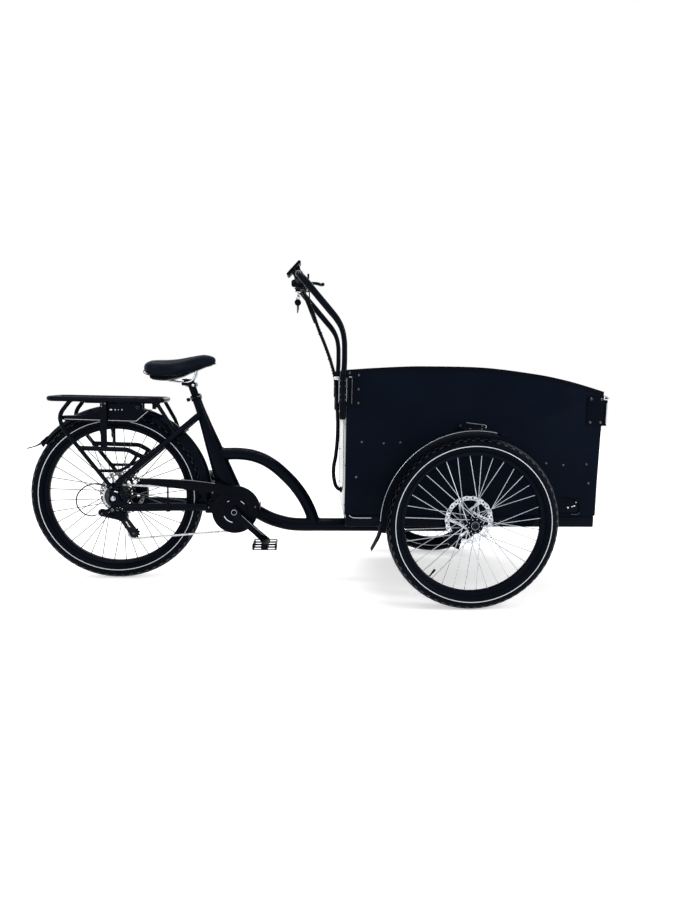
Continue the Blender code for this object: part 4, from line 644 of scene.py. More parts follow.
def make_rotor(name, body, centre, node, bolts_towards, steel):
  """Brake disc: a drilled ring on swept arms round a drilled carrier."""
  middle = (centre[0], centre[2])
  outside = []
  for i in range(144):
    a = tau * i / 144
    r = ROTOR_R - .0011 + .0011 * cos(18 * a)
    outside.append((middle[0] + r * cos(a), middle[1] + r * sin(a)))
  outlines = [outside]
  arms = 6
  for k in range(arms):
    a = tau * k / arms
    outer = arc(middle, .0735, a + radians(4), a + radians(56), 12)
    inner = arc(middle, .0365, a + radians(84), a + radians(44), 8)
    outlines.append(rounded(outer + inner, .003, 3))
    outlines.append(circle((middle[0] + .03 * cos(a + .5), middle[1] + .03 * sin(a + .5)), .0026, 10))
  for k in range(24):
    for r, shift, hole in ((.0776, 0, .0026), (.0828, .5, .0034)):
      a = tau * (k + shift) / 24
      outlines.append(circle((middle[0] + r * cos(a), middle[1] + r * sin(a)), hole, 12))
  outlines.append(circle(middle, .018, 40))
  y = (centre[1] - .0009, centre[1] + .0009)
  disc = plate(outlines, y)
  finish(name, body, steel, [disc], [node])
  side = bolts_towards
  bolt = turned(mm2(0, 3.3, 1.6, 3.3, 2.2, 2.7, 2.2, 1.4, 1.2, 1.2),
      (centre[0] + .0228, centre[1] + side * .0009, centre[2]), 14, along=side)
  finish(name + "_bolts", body, DARK_STEEL, [ring_of(bolt, 6, centre)])


def make_rear_hub():
  """Hub shell with two flanges, the rotor's seat, end caps and the axle's threaded ends."""
  shell = turned(mm2(66.2, 8, 66.2, 10, 60, 10.5, 55.5, 12, 55, 17.4, 50, 17.4, 49.8, 23, 45, 24, 37.2, 24.5, 36.4,
      28.5, 35.5, 29, 30.5, 29, 29.4, 28.5, 28.6, 21.5, 25.5, 17.5, 15, 16, -6, 16, -12.5, 17.5, -15.5, 21.5, -16.4,
      28.5, -17.2, 29, -22.2, 29, -23.2, 28.5, -23.8, 20, -24.5, 13.2, -66, 13.2, -66.4, 10), REAR_AXLE, 64)
  finish("rear_hub_shell", "rear_wheel_set", SATIN, [shell])


def make_front_hub(word, side):
  """Bored hub on its stub axle, with the rotor's seat towards the box and a ringed cap outside."""
  axle = (FRONT_X, side * TRACK, .3124)
  profile = mm2(37.2, 12.8, 37.4, 16.5, 36.8, 17.6, 36, 18.2, 35.8, 28.5, 35, 29, 29, 29, 28, 28.4, 27.2, 21.5,
      23.5, 17.5, 12, 16.2, -12, 16.2, -23.5, 17.5, -27.2, 21.5, -28, 28.4, -29, 29, -35, 29, -35.8, 28.4, -36.6,
      22.5, -58.6, 22.2, -58.8, 17.6, -64, 17.4, -64.5, 11.2, -60, 10.4, 30, 10.4)
  shell = hollow([(side * y, r) for y, r in profile], axle, 64)
  body = "front_wheel_set_" + word
  finish("front_hub_shell_" + word, body, SATIN, [shell])
  ring = hollow([(side * .0371, .0146), (side * .0379, .0145), (side * .0379, .0137), (side * .0371, .0136)], axle,
      48)
  finish("front_hub_ring_" + word, body, SPOKE_STEEL, [ring])


def make_wheels():
  make_tyre("rear_tyre_casing", "rear_wheel_set", REAR_AXLE, REAR_TYRE, "rear_tyre")
  make_rim("rear", "rear_wheel_set", REAR_AXLE, REAR_TYRE["rim"], "rear_wheel")
  lace("rear", "rear_wheel_set", REAR_AXLE, REAR_TYRE["rim"], (.033, -.02), BLACK_SPOKE, 95)
  make_rear_hub()
  make_rotor("rear_brake_disc", "rear_wheel_set", (0, .0512, .333), "rear_rotor", 1, LEVER_ALLOY)
  for word, side in SIDES:
    axle = (FRONT_X, side * TRACK, .3124)
    body = "front_wheel_set_" + word
    make_tyre("front_tyre_casing_" + word, body, axle, FRONT_TYRE, "front_tyre_" + word)
    make_rim("front_" + word, body, axle, FRONT_TYRE["rim"], "front_wheel_" + word)
    lace("front_" + word, body, axle, FRONT_TYRE["rim"], (.032, -.032), SPOKE_STEEL, 232)
    make_front_hub(word, side)
    make_rotor("front_brake_disc_" + word, body, (FRONT_X, side * .34, .3124), "front_rotor_" + word, -side,
        ROTOR_STEEL)


# Drive

def pitch_radius(teeth):
  return LINK / (2 * sin(pi / teeth))


def toothed(centre, teeth, y, windows=(), round_by=0, tip=.003, turn=0):
  """A plate with the chain's teeth round it; the windows are outlines about its middle."""
  radius = pitch_radius(teeth)
  outline = []
  for k in range(teeth):
    middle = tau * (k + .5) / teeth + turn
    for share, out in ((-.34, -.0036), (-.21, -.0004), (-.09, tip), (.09, tip), (.21, -.0004), (.34, -.0036)):
      a = middle + share * tau / teeth
      outline.append((centre[0] + (radius + out) * cos(a), centre[2] + (radius + out) * sin(a)))
  holes = [[(centre[0] + x, centre[2] + z) for x, z in window] for window in windows]
  return plate([outline] + holes, y, round_by, 1)


def petals(count, inner, outer, gap, lean=0, corner=.003):
  """Rounded windows between the arms of a wheel."""
  windows = []
  for k in range(count):
    a, b = tau * k / count + gap, tau * (k + 1) / count - gap
    edge = arc((0, 0), outer, a, b, 9)
    back = arc((0, 0), inner, b - lean - gap * .5, a - lean + gap * .5, 5)
    windows.append(rounded(edge + back, corner, 3))
  return windows


def socket_bolt(place, along, radius=.0042, height=.004):
  """A round-headed bolt with a six-sided socket."""
  head = turned([(0, radius), (height * .65, radius), (height * .92, radius * .86), (height, radius * .66)],
      (0, 0, 0), 20, along=UP)
  key = turned([(height * .35, radius * .5), (height * 1.5, radius * .5)], (0, 0, 0), 6, along=UP)
  return aim(cut_out(head, key), place, Vector(place) + as_direction(along))


def chain_path():
  """Points along the chain: over the chainring and the driven cog, and back through both pulleys."""
  upper, lower = PULLEYS["upper_pulley"], PULLEYS["lower_pulley"]
  wheels = (((CRANK[0], CRANK[2]), pitch_radius(40), -1, -.05, 40),
      ((lower[0], lower[2]), pitch_radius(11), -1, -.034, 24),
      ((upper[0], upper[2]), pitch_radius(11), 1, -.034, 24), ((0, REAR_AXLE[2]), pitch_radius(24), -1, -.034, 36))
  headings = []
  for first, second in zip(wheels, wheels[1:] + wheels[:1]):
    dx, dz = second[0][0] - first[0][0], second[0][1] - first[0][1]
    spread = first[1] * first[2] - second[1] * second[2]
    headings.append(atan2(dz, dx) + atan2(spread, sqrt(dx * dx + dz * dz - spread * spread)))
  path = []
  for i, (centre, radius, sense, y, count) in enumerate(wheels):
    start, end = headings[i - 1] - sense * pi / 2, headings[i] - sense * pi / 2
    while sense * (end - start) < 0:
      end += sense * tau
    while sense * (end - start) > tau:
      end -= sense * tau
    path += [Vector((x, y, z)) for x, z in arc(centre, radius, start, end, count)]
  return path


def evenly(path, count):
  """The same closed line with its points the same distance apart."""
  path = path + path[:1]
  steps = [(b - a).length for a, b in zip(path, path[1:])]
  total, places = sum(steps), []
  at, gone = 0, 0
  for k in range(count):
    goal = total * k / count
    while gone + steps[at] < goal:
      gone += steps[at]
      at += 1
    places.append(path[at].lerp(path[at + 1], (goal - gone) / steps[at]))
  return places


def make_chain():
  """Roller chain: waisted outer and inner plates by turns, on rollers and pins."""
  path = chain_path()
  length = sum((b - a).length for a, b in zip(path, path[1:] + path[:1]))
  count = 2 * round(length / LINK / 2)
  joints = evenly(path, count)
  step = length / count

  def side_plate(y):
    ends = arc((step, 0), .0041, -2.1, 2.1, 6) + [(step / 2, .003)]
    ends += arc((0, 0), .0041, pi - 2.1, pi + 2.1, 6) + [(step / 2, -.003)]
    return plate([ends], y)

  def across(x, radius, half, sides):
    return turned([(-half, radius), (half, radius)], (x, 0, 0), sides)

  outer = join(side_plate((.0026, .0035)), side_plate((-.0026, -.0035)), across(0, .0016, .004, 6),
      across(step, .0016, .004, 6))
  inner = join(side_plate((.0016, .0025)), side_plate((-.0016, -.0025)), across(0, .0036, .0015, 8),
      across(step, .0036, .0015, 8))
  links = []
  for k, start in enumerate(joints):
    ahead = (joints[(k + 1) % count] - start).normalized()
    up = ahead.cross(ACROSS).normalized()
    turn = Matrix((ahead, up.cross(ahead), up)).transposed().to_4x4()
    links.append(copy_of(outer if k % 2 else inner, Matrix.Translation(start) @ turn))
  scrap(outer, inner)
  finish("roller_chain", FRAME, CHAIN_STEEL, links, ["chain"])


def make_cassette():
  cogs = []
  for teeth, y in COGS:
    windows = [circle((0, 0), .018, 40)]
    if teeth > 16:
      windows = petals(6, .0205, pitch_radius(teeth) - .0085, .14, .25, .002)
      windows.append(circle((0, 0), .016, 40))
    cogs.append(toothed(REAR_AXLE, teeth, (y - .001, y + .001), windows, tip=.0026, turn=.11 * teeth))
    if teeth > 12:
      cogs.append(hollow(mm2(-2.4, 16.2, -2.4, 18.8, 2.4, 18.8, 2.4, 16.2), (0, y - .0026, REAR_AXLE[2]), 40))
  finish("cassette_cogs", "cassette_body", DARK_STEEL, cogs, ["cassette"])
  notches = []
  for k in range(12):
    a = tau * k / 12
    notches.append(block((.0118, .0146), (-.002, .002), (-.0011, .0011)))
    notches[-1].data.transform(Matrix.Translation((0, -.0618, REAR_AXLE[2])) @ Matrix.Rotation(a, 4, "Y"))
  ring = hollow(mm2(0, 13.7, 0, 17.8, 1, 18.6, 2.2, 18, 2.6, 16, 2.6, 13.7), (0, -.0602, REAR_AXLE[2]), 48,
      along=-1)
  finish("cassette_lock_ring", "cassette_body", DARK_STEEL, [cut_out(ring, join(*notches))])


def make_chainring():
  windows = petals(5, .034, .066, .16, .1, .006) + [circle((0, 0), .0128, 36)]
  ring = toothed(CRANK, 40, (-.0489, -.0511), windows)
  finish("chainring_teeth", "crank_set", DARK_STEEL, [ring])
  disc = hollow(mm2(52.5, 12.5, 52.5, 70, 56.5, 71.2, 56.5, 89, 57, 89.8, 58.2, 90, 58.8, 89.6, 59, 88.6, 58.6, 85,
      58.6, 56, 59.2, 52, 61.2, 49.2, 62.4, 47.8, 63, 45.2, 63, 38, 62.4, 37, 62.4, 18, 63, 17, 63, 12.5), CRANK,
      96, along=-1)
  finish("chainring_guard_disc", "crank_set", PLASTIC, [disc], ["chainring"], 24)
  middle, highlight_strips = (CRANK[0], CRANK[2]), []
  # Thin silver arcs on the guard disc and round its cover's rim: painted highlights where light glints on the round
  # edges.
  for start, end, r, wide in ((206, 258, .0465, .0013), (38, 60, .0465, .001), (118, 128, .0465, .0008),
      (26, 34, .087, .0006), (37, 46, .087, .0006)):
    a, b = radians(start), radians(end)
    y = -.063 if r < .06 else -.0586
    outline = arc(middle, r + wide, a, b, 14) + arc(middle, r - wide, b, a, 14)
    highlight_strips.append(plate([outline], (y, y - .0006)))
  finish("guard_disc_painted_highlights", "crank_set", SILVER, highlight_strips)
  bolt = socket_bolt((CRANK[0] + .052, -.0511, CRANK[2]), -1, .0046, .003)
  finish("chainring_bolts", "crank_set", DARK_STEEL, [ring_of(bolt, 5, CRANK)])


def make_cranks():
  """Both arms, waisted, on the motor's spindle, with their bolts and pedal axles."""
  arms, axles, bolts = [], [], []
  for side in (-1, 1):
    heading = -CRANK_DOWN + (pi if side > 0 else 0)
    tip = (CRANK[0] + CRANK_LENGTH * cos(heading), CRANK[2] + CRANK_LENGTH * sin(heading))
    across = heading + pi / 2
    waist = [(CRANK[0] + d * cos(heading) + s * w * cos(across), CRANK[2] + d * sin(heading) + s * w * sin(across))
        for d, w, s in ((.12, .0136, 1), (.06, .0142, 1), (.06, .0142, -1), (.12, .0136, -1))]
    outline = arc(tip, .0158, heading - 1.75, heading + 1.75, 22) + waist[:2]
    outline += arc((CRANK[0], CRANK[2]), .019, heading + 1.95, heading + tau - 1.95, 26) + waist[2:]
    arm = plate([outline], (side * .0757, side * .0893), .003, 3)
    slot = plate([link((CRANK[0] + .034 * cos(heading), CRANK[2] + .034 * sin(heading)),
        (CRANK[0] + .138 * cos(heading), CRANK[2] + .138 * sin(heading)), .0052, .0042, 14)],
        (side * .0884, side * .092))
    arms.append(cut_out(arm, slot))
    arms.append(hollow(mm2(64, 12.5, 64, 16.5, 76.5, 18, 76.5, 12.5), CRANK, 40, along=side))
    bolts.append(hollow(mm2(88.8, 10.4, 89.7, 10.8, 90, 10.4, 90, 9.4, 88.4, 9.2), CRANK, 40, along=side))
    # A thin bright strip along each arm's upper edge: a painted highlight.
    edge = [(CRANK[0] + d * cos(heading) + w * cos(across), CRANK[2] + d * sin(heading) + w * sin(across))
        for d, w in mm2(30, 12.2, 60, 11.2, 120, 10.6, 150, 11.6, 150, 10.7, 120, 9.7, 60, 10.3, 30, 11.3)]
    bolts.append(plate([edge], (side * .0888, side * .0896)))
    axles.append(turned(mm2(89, 8, 92.5, 8, 93, 7, 99.5, 6.8, 100, 4.6, 176, 4), (tip[0], 0, tip[1]), 20,
        along=side))
  spindle = rod((CRANK[0], -.088, CRANK[2]), (CRANK[0], .088, CRANK[2]), .01, .001, 32)
  finish("crank_arm_pair", "crank_set", SATIN, arms, ["crank_arms"])
  finish("crank_bolt_rings_and_painted_edge_highlights", "crank_set", SPOKE_STEEL, bolts)
  finish("pedal_axles", "crank_set", DARK_STEEL, axles + [spindle])


def make_pedal(word, side):
  """Cage pedal: windows through its top and through its side, a barrel, studs and end plates."""
  heading = -CRANK_DOWN + (pi if side > 0 else 0)
  x = CRANK[0] + CRANK_LENGTH * cos(heading)
  z = CRANK[2] + CRANK_LENGTH * sin(heading)
  near, far = side * .1, side * .182
  cage = block((x - .0465, x + .0465), (near, far), (z - .0125, z + .0125), .0035, 3)
  holes = []
  for ahead in (-1, 1):
    for inner in (.007, .044):
      holes.append(block((x + ahead * .0125, x + ahead * .04), (near + side * inner, near + side * (inner + .031)),
          (z - .03, z + .03), .003, 2))
    for low in (-.0092, .0022):
      holes.append(block((x + ahead * .0125, x + ahead * .0395), (near - side * .01, far + side * .01),
          (z + low, z + low + .007), .0022, 2))
  barrel = hollow(mm2(100.2, 6.2, 100.2, 9, 105, 10.2, 176, 9.6, 181.5, 8, 181.5, 6.2), (x, 0, z), 24, along=side)
  body = "pedal_body_" + word
  finish("pedal_cage_" + word, body, PLASTIC, [cut_out(cage, *holes), barrel], ["pedal_" + word])
  studs = [turned(mm2(-13.4, 1.2, -12.8, 1.8, 12.8, 1.8, 13.4, 1.2),
      (x + row, near + side * (.0105 + .0102 * k), z), 8, along=UP) for row in (-.0432, .0432) for k in range(7)]
  ends = [block((x + ahead * .0462, x + ahead * .0472), (near + side * .016, far - side * .016),
      (z - .0085, z + .0085), .0005, 1) for ahead in (-1, 1)]
  finish("pedal_studs_and_ends_" + word, body, SILVER, studs + ends)


def make_pulleys():
  for name, body in (("upper_pulley", "guide_pulley"), ("lower_pulley", "tension_pulley")):
    centre = PULLEYS[name]
    y = (centre[1] - .0021, centre[1] + .0021)
    windows = petals(5, .009, .015, .24, 0, .001) + [circle((0, 0), .0036, 20)]
    disc = toothed(centre, 11, y, windows, .0004, tip=.0022)
    boss = hollow(mm2(-5.3, 3.6, -5.3, 5.8, -3, 6.8, 3, 6.8, 5.3, 5.8, 5.3, 3.6), centre, 28)
    finish(name + "_wheel", body, PLASTIC, [disc, boss], [name])


def make_derailleur():
  """Cage with both its plates, the knuckles, the link's two arms, its screws and springs' covers."""
  up, low = PULLEYS["upper_pulley"], PULLEYS["lower_pulley"]
  a, b = (up[0], up[2]), (low[0], low[2])
  near = Vector(a).lerp(Vector(b), .36)
  far = Vector(a).lerp(Vector(b), .62)
  slit = link(near, far, .004, .004, 8)
  inner = plate([link(a, b, .013, .015), slit], (-.0262, -.0278), .0004, 1)
  outer = plate([link(a, b, .014, .015), slit], (-.0402, -.042), .0005, 1)
  finish("derailleur_cage", FRAME, DARK_STEEL, [inner, outer], ["derailleur"])
  knuckle = turned(mm2(42, 11.5, 42.5, 13.5, 44, 14, 56, 14, 59, 12.8, 60.5, 10, 60.5, 6.8, 59.5, 6),
      (up[0], 0, up[2]), 36, along=-1)
  foot = Vector((-.045, -.066, .273))
  hanger = Vector((-.004, -.0715, .289))
  start = Vector((up[0] - .01, -.053, up[2] + .004))
  arms = []
  for shift in (-.0062, .0062):
    arms.append(rod(start + ACROSS * shift, foot + ACROSS * shift * .9, .0078, .0016, 14, end_radius=.0066))
  arms.append(turned(mm2(56, 8, 56.6, 9, 74.5, 9, 75.2, 8), (foot.x, 0, foot.z), 24, along=-1))
  arms.append(rod(foot, hanger, .0088, .0015, 16, end_radius=.01))
  arms.append(turned(mm2(62, 10.5, 62.8, 11.8, 78, 11.8, 78.8, 10.8), (hanger.x, 0, hanger.z), 28, along=-1))
  lug = plate([link((hanger.x, hanger.z), (0, .318), .0105, .0085)], (-.0685, -.0745), .0008, 1)
  cover = plate([link((foot.x - .002, foot.z + .002), (up[0] + .006, up[2] + .006), .015, .0185, 14)],
      (-.0612, -.0668), .0018, 2)
  ribs = plate([link((foot.x + .012, foot.z + .001), (up[0] - .012, up[2] + .005), .0016, .0016, 6)],
      (-.066, -.0678), .0004, 1)
  finish("derailleur_body", FRAME, SATIN, [knuckle, lug, cover, ribs] + arms)
  bits = [socket_bolt((hanger.x, -.0786, hanger.z), -1, .0062, .0026),
      socket_bolt((foot.x, -.075, foot.z), -1, .0038, .0024), socket_bolt((up[0], -.0603, up[2]), -1, .0048, .0026),
      socket_bolt((low[0], -.0419, low[2]), -1, .0042, .0026),
      turned([(.0255, .0032), (.0425, .0032)], (low[0], 0, low[2]), 14, along=-1),
      turned([(.0255, .0032), (.0425, .0032)], (up[0], 0, up[2]), 14, along=-1)]
  for spot in ((-.012, -.0755, .283), (-.017, -.074, .279)):
    bits.append(rod(spot, Vector(spot) + Vector((-.004, -.004, -.003)), .0018, .0003, 10))
  finish("derailleur_screws", FRAME, SCREWS, bits)
  route = mm3(18, -78.4, 358, -8, -81.5, 368, -36, -84, 388, -70, -84, 391, -115, -81, 370, -138, -77, 327, -125,
      -73, 284, -88, -69, 263, -58.5, -66.2, 269)
  ends = [rod(route[0], Vector(route[0]) + Vector((-.013, -.0015, .005)), .0031, .0004, 12),
      rod(route[-1], Vector(route[-1]) + Vector((-.014, -.0006, -.003)), .0031, .0004, 12)]
  finish("shift_cable_ends", FRAME, SILVER, ends)
  finish("shift_cable_loop", FRAME, CABLE, [pipe(route, .0024, 3, 10)], ["rear_cable"])


def make_drive():
  make_chain()
  make_cassette()
  make_chainring()
  make_cranks()
  make_pedal("left", 1)
  make_pedal("right", -1)
  make_pulleys()
  make_derailleur()


# Frame

def place_of(edge):
  """Where an edge's middle is, so that edges are taken in the same order on every run."""
  return tuple(round(c, 5) for c in (edge.verts[0].co + edge.verts[1].co) / 2)


def seam_loops(first, second):
  """The closed lines along which two bodies meet, as ordered points."""
  both = copy_of(first)
  tool = copy_of(second)
  union = both.modifiers.new("union", "BOOLEAN")
  union.operation = "UNION"
  union.solver = "EXACT"
  union.object = tool
  apply_all(both)
  tidy(both, .0001)
  edit(both, "EDGE")
  mesh = bmesh.from_edit_mesh(both.data)
  seam = {e for e in mesh.edges if len(e.link_faces) == 2 and not e.is_convex and e.calc_face_angle(0) > .42}
  loops = []
  while seam:
    edge = min(seam, key=place_of)
    seam.remove(edge)
    line = sorted(edge.verts, key=lambda v: v.co[:])
    for _ in range(2):
      ahead = [e for e in line[-1].link_edges if e in seam]
      while ahead:
        edge = min(ahead, key=place_of)
        seam.remove(edge)
        line.append(edge.other_vert(line[-1]))
        ahead = [e for e in line[-1].link_edges if e in seam]
      line.reverse()
    loops.append([v.co.copy() for v in line])
  leave()
  scrap(both, tool)
  return loops


def weld(first, second, size=.0034, step=.0045):
  """A rippled weld bead where two tubes meet."""
  beads = []
  for line in seam_loops(first, second):
    length = sum((b - a).length for a, b in zip(line, line[1:]))
    if length < .03:
      continue
    closed = (line[0] - line[-1]).length < .004
    count = max(8, 2 * round(length / step / 2))
    if closed:
      spots = evenly(line[:-1], count)
    else:
      spots = evenly(line + line[-2:0:-1], 2 * count)[:count + 1]
    widths = [1 if k % 2 else .8 for k in range(len(spots))]
    beads.append(pipe(spots, size, 2, 2, closed, widths))
  return beads


def level_route(route, y=0):
  return [(x, y, z) for x, z in route]


def main_tube_line():
  route = mm2(505, 292, 548, 267, 596, 242, 637, 228, 678, 219, 720, 216, 790, 216, 1080, 216, 1352, 216)
  return pipe(level_route(route), .027, 10, 10)


def loop_tube_line():
  route = mm2(386, 504, 414.5, 504, 484, 504, 540, 494, 596, 468, 652.5, 422.5, 710.5, 358, 753, 286, 777, 222)
  return pipe(level_route(route), .0245, 10, 10)


def seat_tube_line():
  """Round above and widening to an oval foot over the motor."""
  ahead = ACROSS.cross(SEAT_LEAN)
  stations = mm3(45, 17.5, 17.5, 0, 17.5, 17.5, -130, 28.84, 27.65, -365, 49, 32)
  rings = []
  for (s0, x0, y0), (s1, x1, y1) in zip(stations, stations[1:]):
    steps = 5 if s0 < .04 else 2
    for k in range(steps):
      t = k / steps
      rings.append((s0 + (s1 - s0) * t, x0 + (x1 - x0) * t, y0 + (y1 - y0) * t))
  rings.append(stations[-1])
  eased = []
  for k, (s, x, y) in enumerate(rings):
    if 0 < k < len(rings) - 1:
      x = (rings[k - 1][1] + 2 * x + rings[k + 1][1]) / 4
      y = (rings[k - 1][2] + 2 * y + rings[k + 1][2]) / 4
    eased.append((s, x, y))
  return skin([[tuple(SEAT_FOOT + SEAT_LEAN * s + ahead * (x * cos(a)) + ACROSS * (y * sin(a)))
      for a in (tau * i / 40 for i in range(40))] for s, x, y in eased])


def seat_stay_line(side):
  return pipe(mm3(14, 70.5, 392, 100, 66, 468, 190, 53, 547, 250, 44.5, 599, 300, 30, 642.5, 322, 20.5, 661.5,
      side=side), .012, 7, 8)


def chain_stay_line(side):
  return pipe(mm3(36, 70.5, 297.5, 120, 68, 297.5, 220, 58, 297.5, 300, 50, 296.5, 352, 45.5, 295, side=side),
      .0158, 8, 8)


def dropout(side):
  outline = rounded(mm2(-20, 313, 4, 309, 50, 284.5, 54, 311.5, 30, 399, -12, 393), .008, 6)
  window = rounded(mm2(14, 352, 26, 322, 36, 322, 26, 378, 14, 380), .006, 5)
  return plate([outline, window], (side * .0677, side * .0753), .0012, 2)


def make_main_frame():
  main, loop, seat = main_tube_line(), loop_tube_line(), seat_tube_line()
  head = turned(mm2(165, 23.5, 165.6, 24.8, 170, 26.2, 174.5, 26.2, 176.5, 25, 190, 24.8, 242, 24.8, 252.5, 25,
      254.5, 26.2, 260, 26.2, 261.6, 25, 262, 23.5), (STEER_X, 0, 0), 56, along=UP)
  beads = weld(main, loop) + weld(seat, loop) + weld(main, head)
  stays = {}
  for word, side in SIDES:
    upper, lower, end = seat_stay_line(side), chain_stay_line(side), dropout(side)
    joints = weld(upper, seat, .0024, .0036) + weld(upper, end, .0022, .0036) + weld(lower, end, .0022, .0036)
    stays[word] = [upper, lower, end] + joints
  finish("main_tube_and_head", FRAME, GLOSS, [main, head] + beads, ["main_tube"], 38)
  finish("step_through_loop", FRAME, GLOSS, [loop], ["loop_tube"], 38)
  for word, shapes in stays.items():
    finish("stays_and_dropout_" + word, FRAME, GLOSS, shapes, ["stays_" + word], 38)
  level = SEAT_FOOT + SEAT_LEAN * .052
  across = SEAT_LEAN.cross(ACROSS)
  ear = Vector((0, -.023, 0))
  collar = hollow(mm2(41, 18.5, 41.4, 20.6, 42.4, 21.2, 46.8, 21.2, 48, 20.3, 56, 20.3, 57.2, 21.2, 61.2, 21.2,
      62.4, 20.4, 63, 18, 63, 15, 41, 15), SEAT_FOOT, 48, along=SEAT_LEAN)
  lug = rod(level + ear - across * .01, level + ear + across * .01, .0078, .0014, 24)
  slit = block((-.03, 0), (-.0013, .0013), (-.014, .014))
  slit.data.transform(Matrix.Translation(level) @ Matrix.Rotation(pi / 2, 4, "Z"))
  ring = cut_out(collar, copy_of(slit))
  finish("seat_collar", FRAME, SATIN, [ring, cut_out(lug, slit)])
  finish("seat_tube_shell", FRAME, GLOSS, [seat], ["seat_tube"], 38)
  nut_end, lever_end = level + ear - across * .026, level + ear + across * .021
  nut = rod(nut_end, nut_end + across * .008, .0072, .0012, 20)
  skewer = rod(nut_end - across * .0015, lever_end, .0028, .0004, 14)
  finish("seat_skewer", FRAME, SCREWS, [nut, skewer])
  pivot = lever_end + across * .0063
  cam = rod(pivot - SEAT_LEAN * .007, pivot + SEAT_LEAN * .007, .0066, .0012, 24)
  blade = skin([[tuple(pivot + Vector((0, reach, 0)) + across * (out + thick * cos(a))
      + SEAT_LEAN * (wide * sin(a))) for a in (tau * i / 16 for i in range(16))]
      for reach, out, wide, thick in ((0, 0, .0045, .004), (.01, .002, .0046, .0034), (.022, .0042, .0052, .0026),
      (.034, .005, .0062, .0023), (.044, .0046, .006, .0024), (.0485, .0042, .004, .002))])
  finish("seat_quick_lever", "seat_lever", SATIN, [cam, blade], ["seat_clamp_lever"])
  pin = turned(mm2(147, 12, 147.4, 20.6, 147.8, 20.8, 164, 20.8, 164.6, 20.3, 164.6, 14.2), (STEER_X, 0, 0), 6,
      along=UP)
  finish("kingpin_nut", BOX, DARK_STEEL, [pin])


def make_motor():
  """Mid motor: a drum with ribbed faces, its seam, cover screws and the yoke to the chainstays."""
  profile = mm2(-43, 11, -43, 30, -42, 31, -42, 40, -43, 41, -43, 58.5, -41.5, 61.5, -34.5, 68.5, -33, 70, -4, 70,
      -3, 69, 3, 69, 4, 70, 33, 70, 34.5, 68.5, 41.5, 61.5, 43, 58.5, 43, 41, 42, 40, 42, 31, 43, 30, 43, 11)
  drum = hollow(profile, CRANK, 96)
  yoke = block((.342, .42), (-.0428, .0428), (.269, .317), .007, 3)
  web = rounded(mm2(364, 310, 420, 310, 420, 392, 360, 392, 362.5, 350), .006, 4)
  web = plate([web], (-.03, .03), .002, 2)
  cheek = rounded(mm2(329, 313, 348, 313, 348, 350, 360, 392, 325, 392, 328.5, 330), .006, 4)
  cheeks = [plate([cheek], (side * .0362, side * .0384), .0006, 1) for side in (-1, 1)]
  cheeks += [block((.344, .348), (-.0375, .0375), (z, z + .01), .001, 1) for z in (.318, .379)]
  finish("motor_drum", FRAME, PLASTIC, [drum, yoke, web], ["motor_unit"], 30)
  finish("motor_rear_shield", FRAME, PLASTIC, cheeks, (), 30)
  screws = []
  for k in range(6):
    a = tau * (k + .5) / 6
    for side in (-1, 1):
      place = (CRANK[0] + .05 * cos(a), side * .0429, CRANK[2] + .05 * sin(a))
      screws.append(socket_bolt(place, side, .0036, .0022))
  for x, z in ((.356, .293), (.392, .305)):
    for side in (-1, 1):
      screws.append(socket_bolt((x, side * .0427, z), side, .0048, .003))
  finish("motor_screws", FRAME, SCREWS, screws)
  plug = rod((.432, .0445, .322), (.4, .0445, .352), .0042, .001, 14)
  lead = pipe(mm3(404, 44.5, 348, 394, 43.5, 366, 388, 40, 388, 384, 33, 412), .0026, 3, 8)
  finish("motor_lead", FRAME, CABLE, [plug, lead])


def make_chain_guard():
  centre = (CRANK[0], CRANK[2])
  outline = arc(centre, .102, radians(12), radians(98), 30)
  outline += rounded(mm2(400, 393.5, 385, 395, 289, 406, 95, 413, 108, 389, 281, 367, 400, 352, 410, 350), .006,
      4)[4:-4]
  outline += arc(centre, .076, radians(95), radians(14), 26)
  shade = plate([outline], (-.0626, -.0659), .0009, 2)
  lip = plate([outline[:1] + arc(centre, .1018, radians(12), radians(98), 30)[1:]
      + arc(centre, .099, radians(98), radians(12), 30)], (-.056, -.064), .0004, 1)
  tab = block((.5557, .5608), (-.0655, -.012), (.284, .311), .001, 2)
  rear_tab = block((.2005, .2075), (-.064, -.0657), (.306, .379), .0006, 1)
  # The spine along the upper edge and the rim round the front are bright metal beads: painted highlights along the
  # guard's edges.
  spine = pipe(mm3(100, -65.2, 411.8, 190, -65.2, 409.4, 289, -65.2, 404.8, 385, -65.2, 394), .0012, 2, 8)
  rim = pipe([(x, -.0648, z) for x, z in arc(centre, .101, radians(92), radians(20), 24)], .001, 2, 3)
  clip = hollow(mm2(-7, 16.6, 7, 16.6, 7, 18.8, -7, 18.8), (.204, -.0597, .2975), 32, along=(.995, .1, 0))
  finish("chain_guard_shell", FRAME, PLASTIC, [shade, lip, tab, rear_tab, clip], ["chain_guard"])
  screws = [socket_bolt((x, -.0657, z), -1, .0036, .002) for x, z in mm2(204, 371, 542.5, 301, 375.5, 357)]
  finish("chain_guard_screws", FRAME, SCREWS, screws)
  finish("chain_guard_painted_edge_highlights", FRAME, LEVER_ALLOY, [spine, rim])


